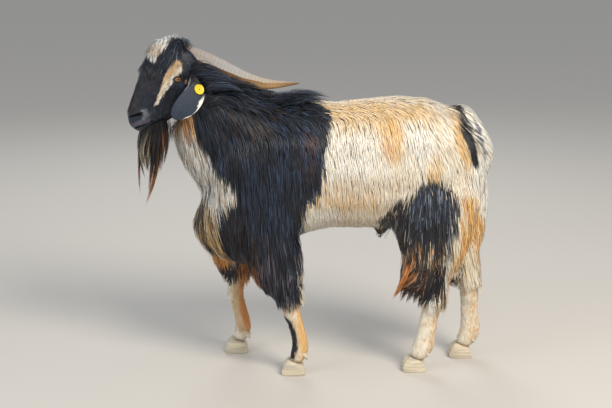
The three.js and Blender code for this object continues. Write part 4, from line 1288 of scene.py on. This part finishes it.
def hornMaterial():
    book = MaterialBook("goat horn", (0.45, 0.39, 0.32))
    place = book.objectPlace()
    run, face = book.attribute("run", 2), book.attribute("face", 2)
    grain = book.noise(place, 90, 4, 0.6)
    broad = book.noise(place, 22, 3, 0.55)
    streaks = book.noise(place, 60, 4, 0.6, (0.35, 2.2, 2.2))
    rings = (run * 210 + 9 * broad + 2 * grain).maths("SINE") * 0.5 + 0.5
    # painted light and shade: the upper face is pale as if lit, the lower face darker brown as its shade; both also
    # change along the horn with its own colour
    upper = book.node("ShaderNodeValToRGB", {"stops": [(0.0, tuple(srgb(160, 124, 118))), (0.10, tuple(srgb(152, 140, 132))),
                                                       (0.45, tuple(srgb(156, 152, 150))), (0.75, tuple(srgb(168, 154, 136))),
                                                       (1.0, tuple(srgb(150, 128, 100)))]}, {"Fac": run})
    lower = book.node("ShaderNodeValToRGB", {"stops": [(0.0, tuple(srgb(92, 70, 54))), (0.5, tuple(srgb(150, 112, 72))),
                                                       (0.8, tuple(srgb(186, 150, 104))), (1.0, tuple(srgb(120, 88, 60)))]}, {"Fac": run})
    lower = book.mix(0.7 * streaks, lower, book.mix(1.0, lower, (0.42, 0.38, 0.34), "MULTIPLY"))
    keel = book.node("ShaderNodeMapRange", None, {"Value": face + 0.10 * streaks, "From Min": 0.0, "From Max": 0.14})
    colour = book.mix(keel, lower, upper)
    colour = book.mix(0.25 * rings, colour, book.mix(1.0, colour, (0.70, 0.66, 0.60), "MULTIPLY"))
    colour = book.mix(0.45 * grain, colour, book.mix(1.0, colour, (0.62, 0.58, 0.54), "MULTIPLY"))
    book.set(baseColor=colour, roughness=0.45 + 0.15 * grain, specularIORLevel=0.35,
             normal=book.bump(0.7 * rings + 0.8 * grain + 0.5 * streaks, 0.5, 0.0011))
    return book


hornBook = hornMaterial()
for side in ("left", "right"):
    horn = makeHorn(side)
    hornBook.give(horn)
    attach(horn, "root")
print("horns set")


def clawMaterial():
    book = MaterialBook("goat claw", (0.2, 0.2, 0.21))
    place = book.objectPlace()
    grain = book.noise(place, 70, 4, 0.6)
    bands = book.noise(place, 30, 3, 0.6, (0.4, 0.4, 5.0))
    dusty = book.node("ShaderNodeValToRGB", {"stops": [(0.28, tuple(srgb(168, 162, 154))), (0.55, tuple(srgb(210, 196, 170))),
                                                       (0.75, tuple(srgb(236, 224, 198)))]}, {"Fac": bands})
    colour = book.mix(0.35 * grain, dusty, book.mix(1.0, dusty, (0.62, 0.58, 0.52), "MULTIPLY"))
    book.set(baseColor=colour, roughness=0.6 + 0.2 * grain, specularIORLevel=0.3,
             normal=book.bump(0.5 * bands + 0.6 * grain, 0.35, 0.0008))
    return book


clawBook = clawMaterial()
for name in nodes:
    if "claw" in name:
        claw = copyOf(name, name + "_fine")
        applyModifier(claw, "BEVEL", width=0.0022, segments=3, limit_method="ANGLE", angle_limit=math.radians(35))
        only(claw)
        bpy.ops.object.shade_smooth_by_angle(angle=math.radians(50))
        clawBook.give(claw)
        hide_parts(name)
        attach(claw, "root")
print("claws set")


tagSettings = {"sides": 64, "radius": 0.015, "thick": 0.0032, "facing": (-0.4, 0, 1), "stud": 0.0035, "through": 0.006, "back": 0.009,
               "edge": 0.0007}


def pickCap(piece, up):                   # selects only the faces that look up, or down
    bpy.ops.object.mode_set(mode="OBJECT")
    for face in piece.data.polygons:
        face.select = face.normal.z * up > 0.9
    bpy.ops.object.mode_set(mode="EDIT")


def makeTag():
    size = tagSettings
    bpy.ops.object.select_all(action="DESELECT")
    bpy.ops.mesh.primitive_cylinder_add(vertices=size["sides"], radius=size["radius"], depth=size["thick"])
    tag = bpy.context.object
    tag.name = "ear_button"
    bpy.ops.object.mode_set(mode="EDIT")
    bpy.ops.mesh.select_mode(type="FACE")
    pickCap(tag, -1)
    bpy.ops.mesh.inset(thickness=size["radius"] - size["stud"])          # the stud, and the small disc behind the ear
    bpy.ops.mesh.extrude_region_move(TRANSFORM_OT_translate={"value": (0, 0, -size["through"])})
    bpy.ops.mesh.extrude_region_move(TRANSFORM_OT_translate={"value": (0, 0, 0)})
    bpy.ops.transform.resize(value=(size["back"] / size["stud"], size["back"] / size["stud"], 1))
    bpy.ops.mesh.extrude_region_move(TRANSFORM_OT_translate={"value": (0, 0, -0.002)})
    pickCap(tag, 1)
    bpy.ops.mesh.inset(thickness=0.0014)
    bpy.ops.mesh.extrude_region_move(TRANSFORM_OT_translate={"value": (0, 0, -0.0005)})       # a raised rim round the front
    bpy.ops.object.mode_set(mode="OBJECT")
    applyModifier(tag, "BEVEL", width=size["edge"], segments=3, limit_method="ANGLE", angle_limit=math.radians(40))
    only(tag)
    bpy.ops.object.shade_smooth_by_angle(angle=math.radians(40))
    facing = unit(np.array(size["facing"], float))
    plain = copyOf("ear_tag", "ear_tag_copy")
    corners = toHead(pointsOf(plain))
    reach = corners @ facing
    front = corners[reach > reach.max() - 0.0003].mean(0)              # the middle of the plain tag's front
    bpy.data.objects.remove(plain)
    h = pointsOf(tag) - [0, 0, size["thick"] / 2]
    across = unit(np.cross(facing, [0, 1, 0]))
    setPoints(tag, fromHead(front + h @ np.array([across, np.cross(facing, across), facing])))
    attribute = tag.data.attributes.new("disc", "FLOAT_VECTOR", "POINT")
    attribute.data.foreach_set("vector", (h * 1000).astype(np.float32).ravel())
    book = MaterialBook("yellow button", (0.9, 0.72, 0.0))
    disc = book.attribute("disc", 1)
    parts = book.tree.nodes.new("ShaderNodeSeparateXYZ")
    book.plug(parts.inputs[0], disc)
    dx, dy = (Wire(book, parts.outputs[k]) for k in (0, 1))
    radius = (dx * dx + dy * dy) ** 0.5
    grime = book.noise(book.objectPlace(), 300, 4, 0.6)
    ring = (radius - 8.2).maths("ABSOLUTE").maths("LESS_THAN", 0.9)
    colour = book.mix(0.25 * grime, tuple(srgb(240, 202, 10)), tuple(srgb(206, 160, 20)))
    colour = book.mix(0.75 * ring, colour, tuple(srgb(222, 140, 24)))
    colour = book.mix(radius.maths("LESS_THAN", 2.3), colour, tuple(srgb(96, 66, 30)))
    book.set(baseColor=colour, roughness=0.38 + 0.2 * grime, specularIORLevel=0.5,
             normal=book.bump(ring * -1.0 + 0.2 * grime, 0.5, 0.0008))
    book.give(tag)
    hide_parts("ear_tag")
    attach(tag, "root")


makeTag()
print("tag set")

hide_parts(*fleshNodes, *earNodes)
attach(skin, "root")
for piece in coatPieces:
    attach(piece, "root")


# floor, light and camera

stageSettings = {"floor": 60.0, "key": 245, "fill": 45, "back": 50, "world": 0.58}

bpy.ops.mesh.primitive_plane_add(size=stageSettings["floor"])
floor = bpy.context.object
floor.name = "studio_floor"
floorBook = MaterialBook("studio floor", (0.75, 0.70, 0.64))
floorBook.set(baseColor=(0.54, 0.50, 0.45, 1), roughness=0.9, specularIORLevel=0.2)
floorBook.give(floor)


def areaLight(name, place, target, size, power, colour):
    light = bpy.data.lights.new(name, "AREA")
    light.shape, light.size, light.energy, light.color = "DISK", size, power, colour
    lamp = bpy.data.objects.new(name, light)
    bpy.context.scene.collection.objects.link(lamp)
    lamp.location = place
    lamp.rotation_euler = (Vector(target) - Vector(place)).to_track_quat("-Z", "Y").to_euler()


areaLight("key", (2.2, -3.0, 3.6), (0, 0, 0.55), 2.2, stageSettings["key"], (1.0, 0.95, 0.86))
areaLight("fill", (-3.2, -2.4, 2.2), (0, 0, 0.5), 2.5, stageSettings["fill"], (0.80, 0.90, 1.0))
areaLight("back", (-0.5, 3.4, 3.2), (0, 0, 0.6), 2.0, stageSettings["back"], (0.92, 0.96, 1.0))

world = bpy.data.worlds.new("studio")
world.use_nodes = True
world.node_tree.nodes["Background"].inputs["Color"].default_value = (0.86, 0.92, 1.0, 1)
world.node_tree.nodes["Background"].inputs["Strength"].default_value = stageSettings["world"]
bpy.context.scene.world = world

cameraData = bpy.data.cameras.new("camera")
cameraData.lens, cameraData.sensor_width, cameraData.sensor_fit = 71.65, 36.0, "HORIZONTAL"
camera = bpy.data.objects.new("camera", cameraData)
bpy.context.scene.collection.objects.link(camera)
camera.location = (-0.0257, -3.6523, 1.33)
camera.rotation_euler = (math.radians(77.3), 0, 0)
bpy.context.scene.camera = camera
bpy.context.scene.view_settings.view_transform = "Standard"

print("scene ready")
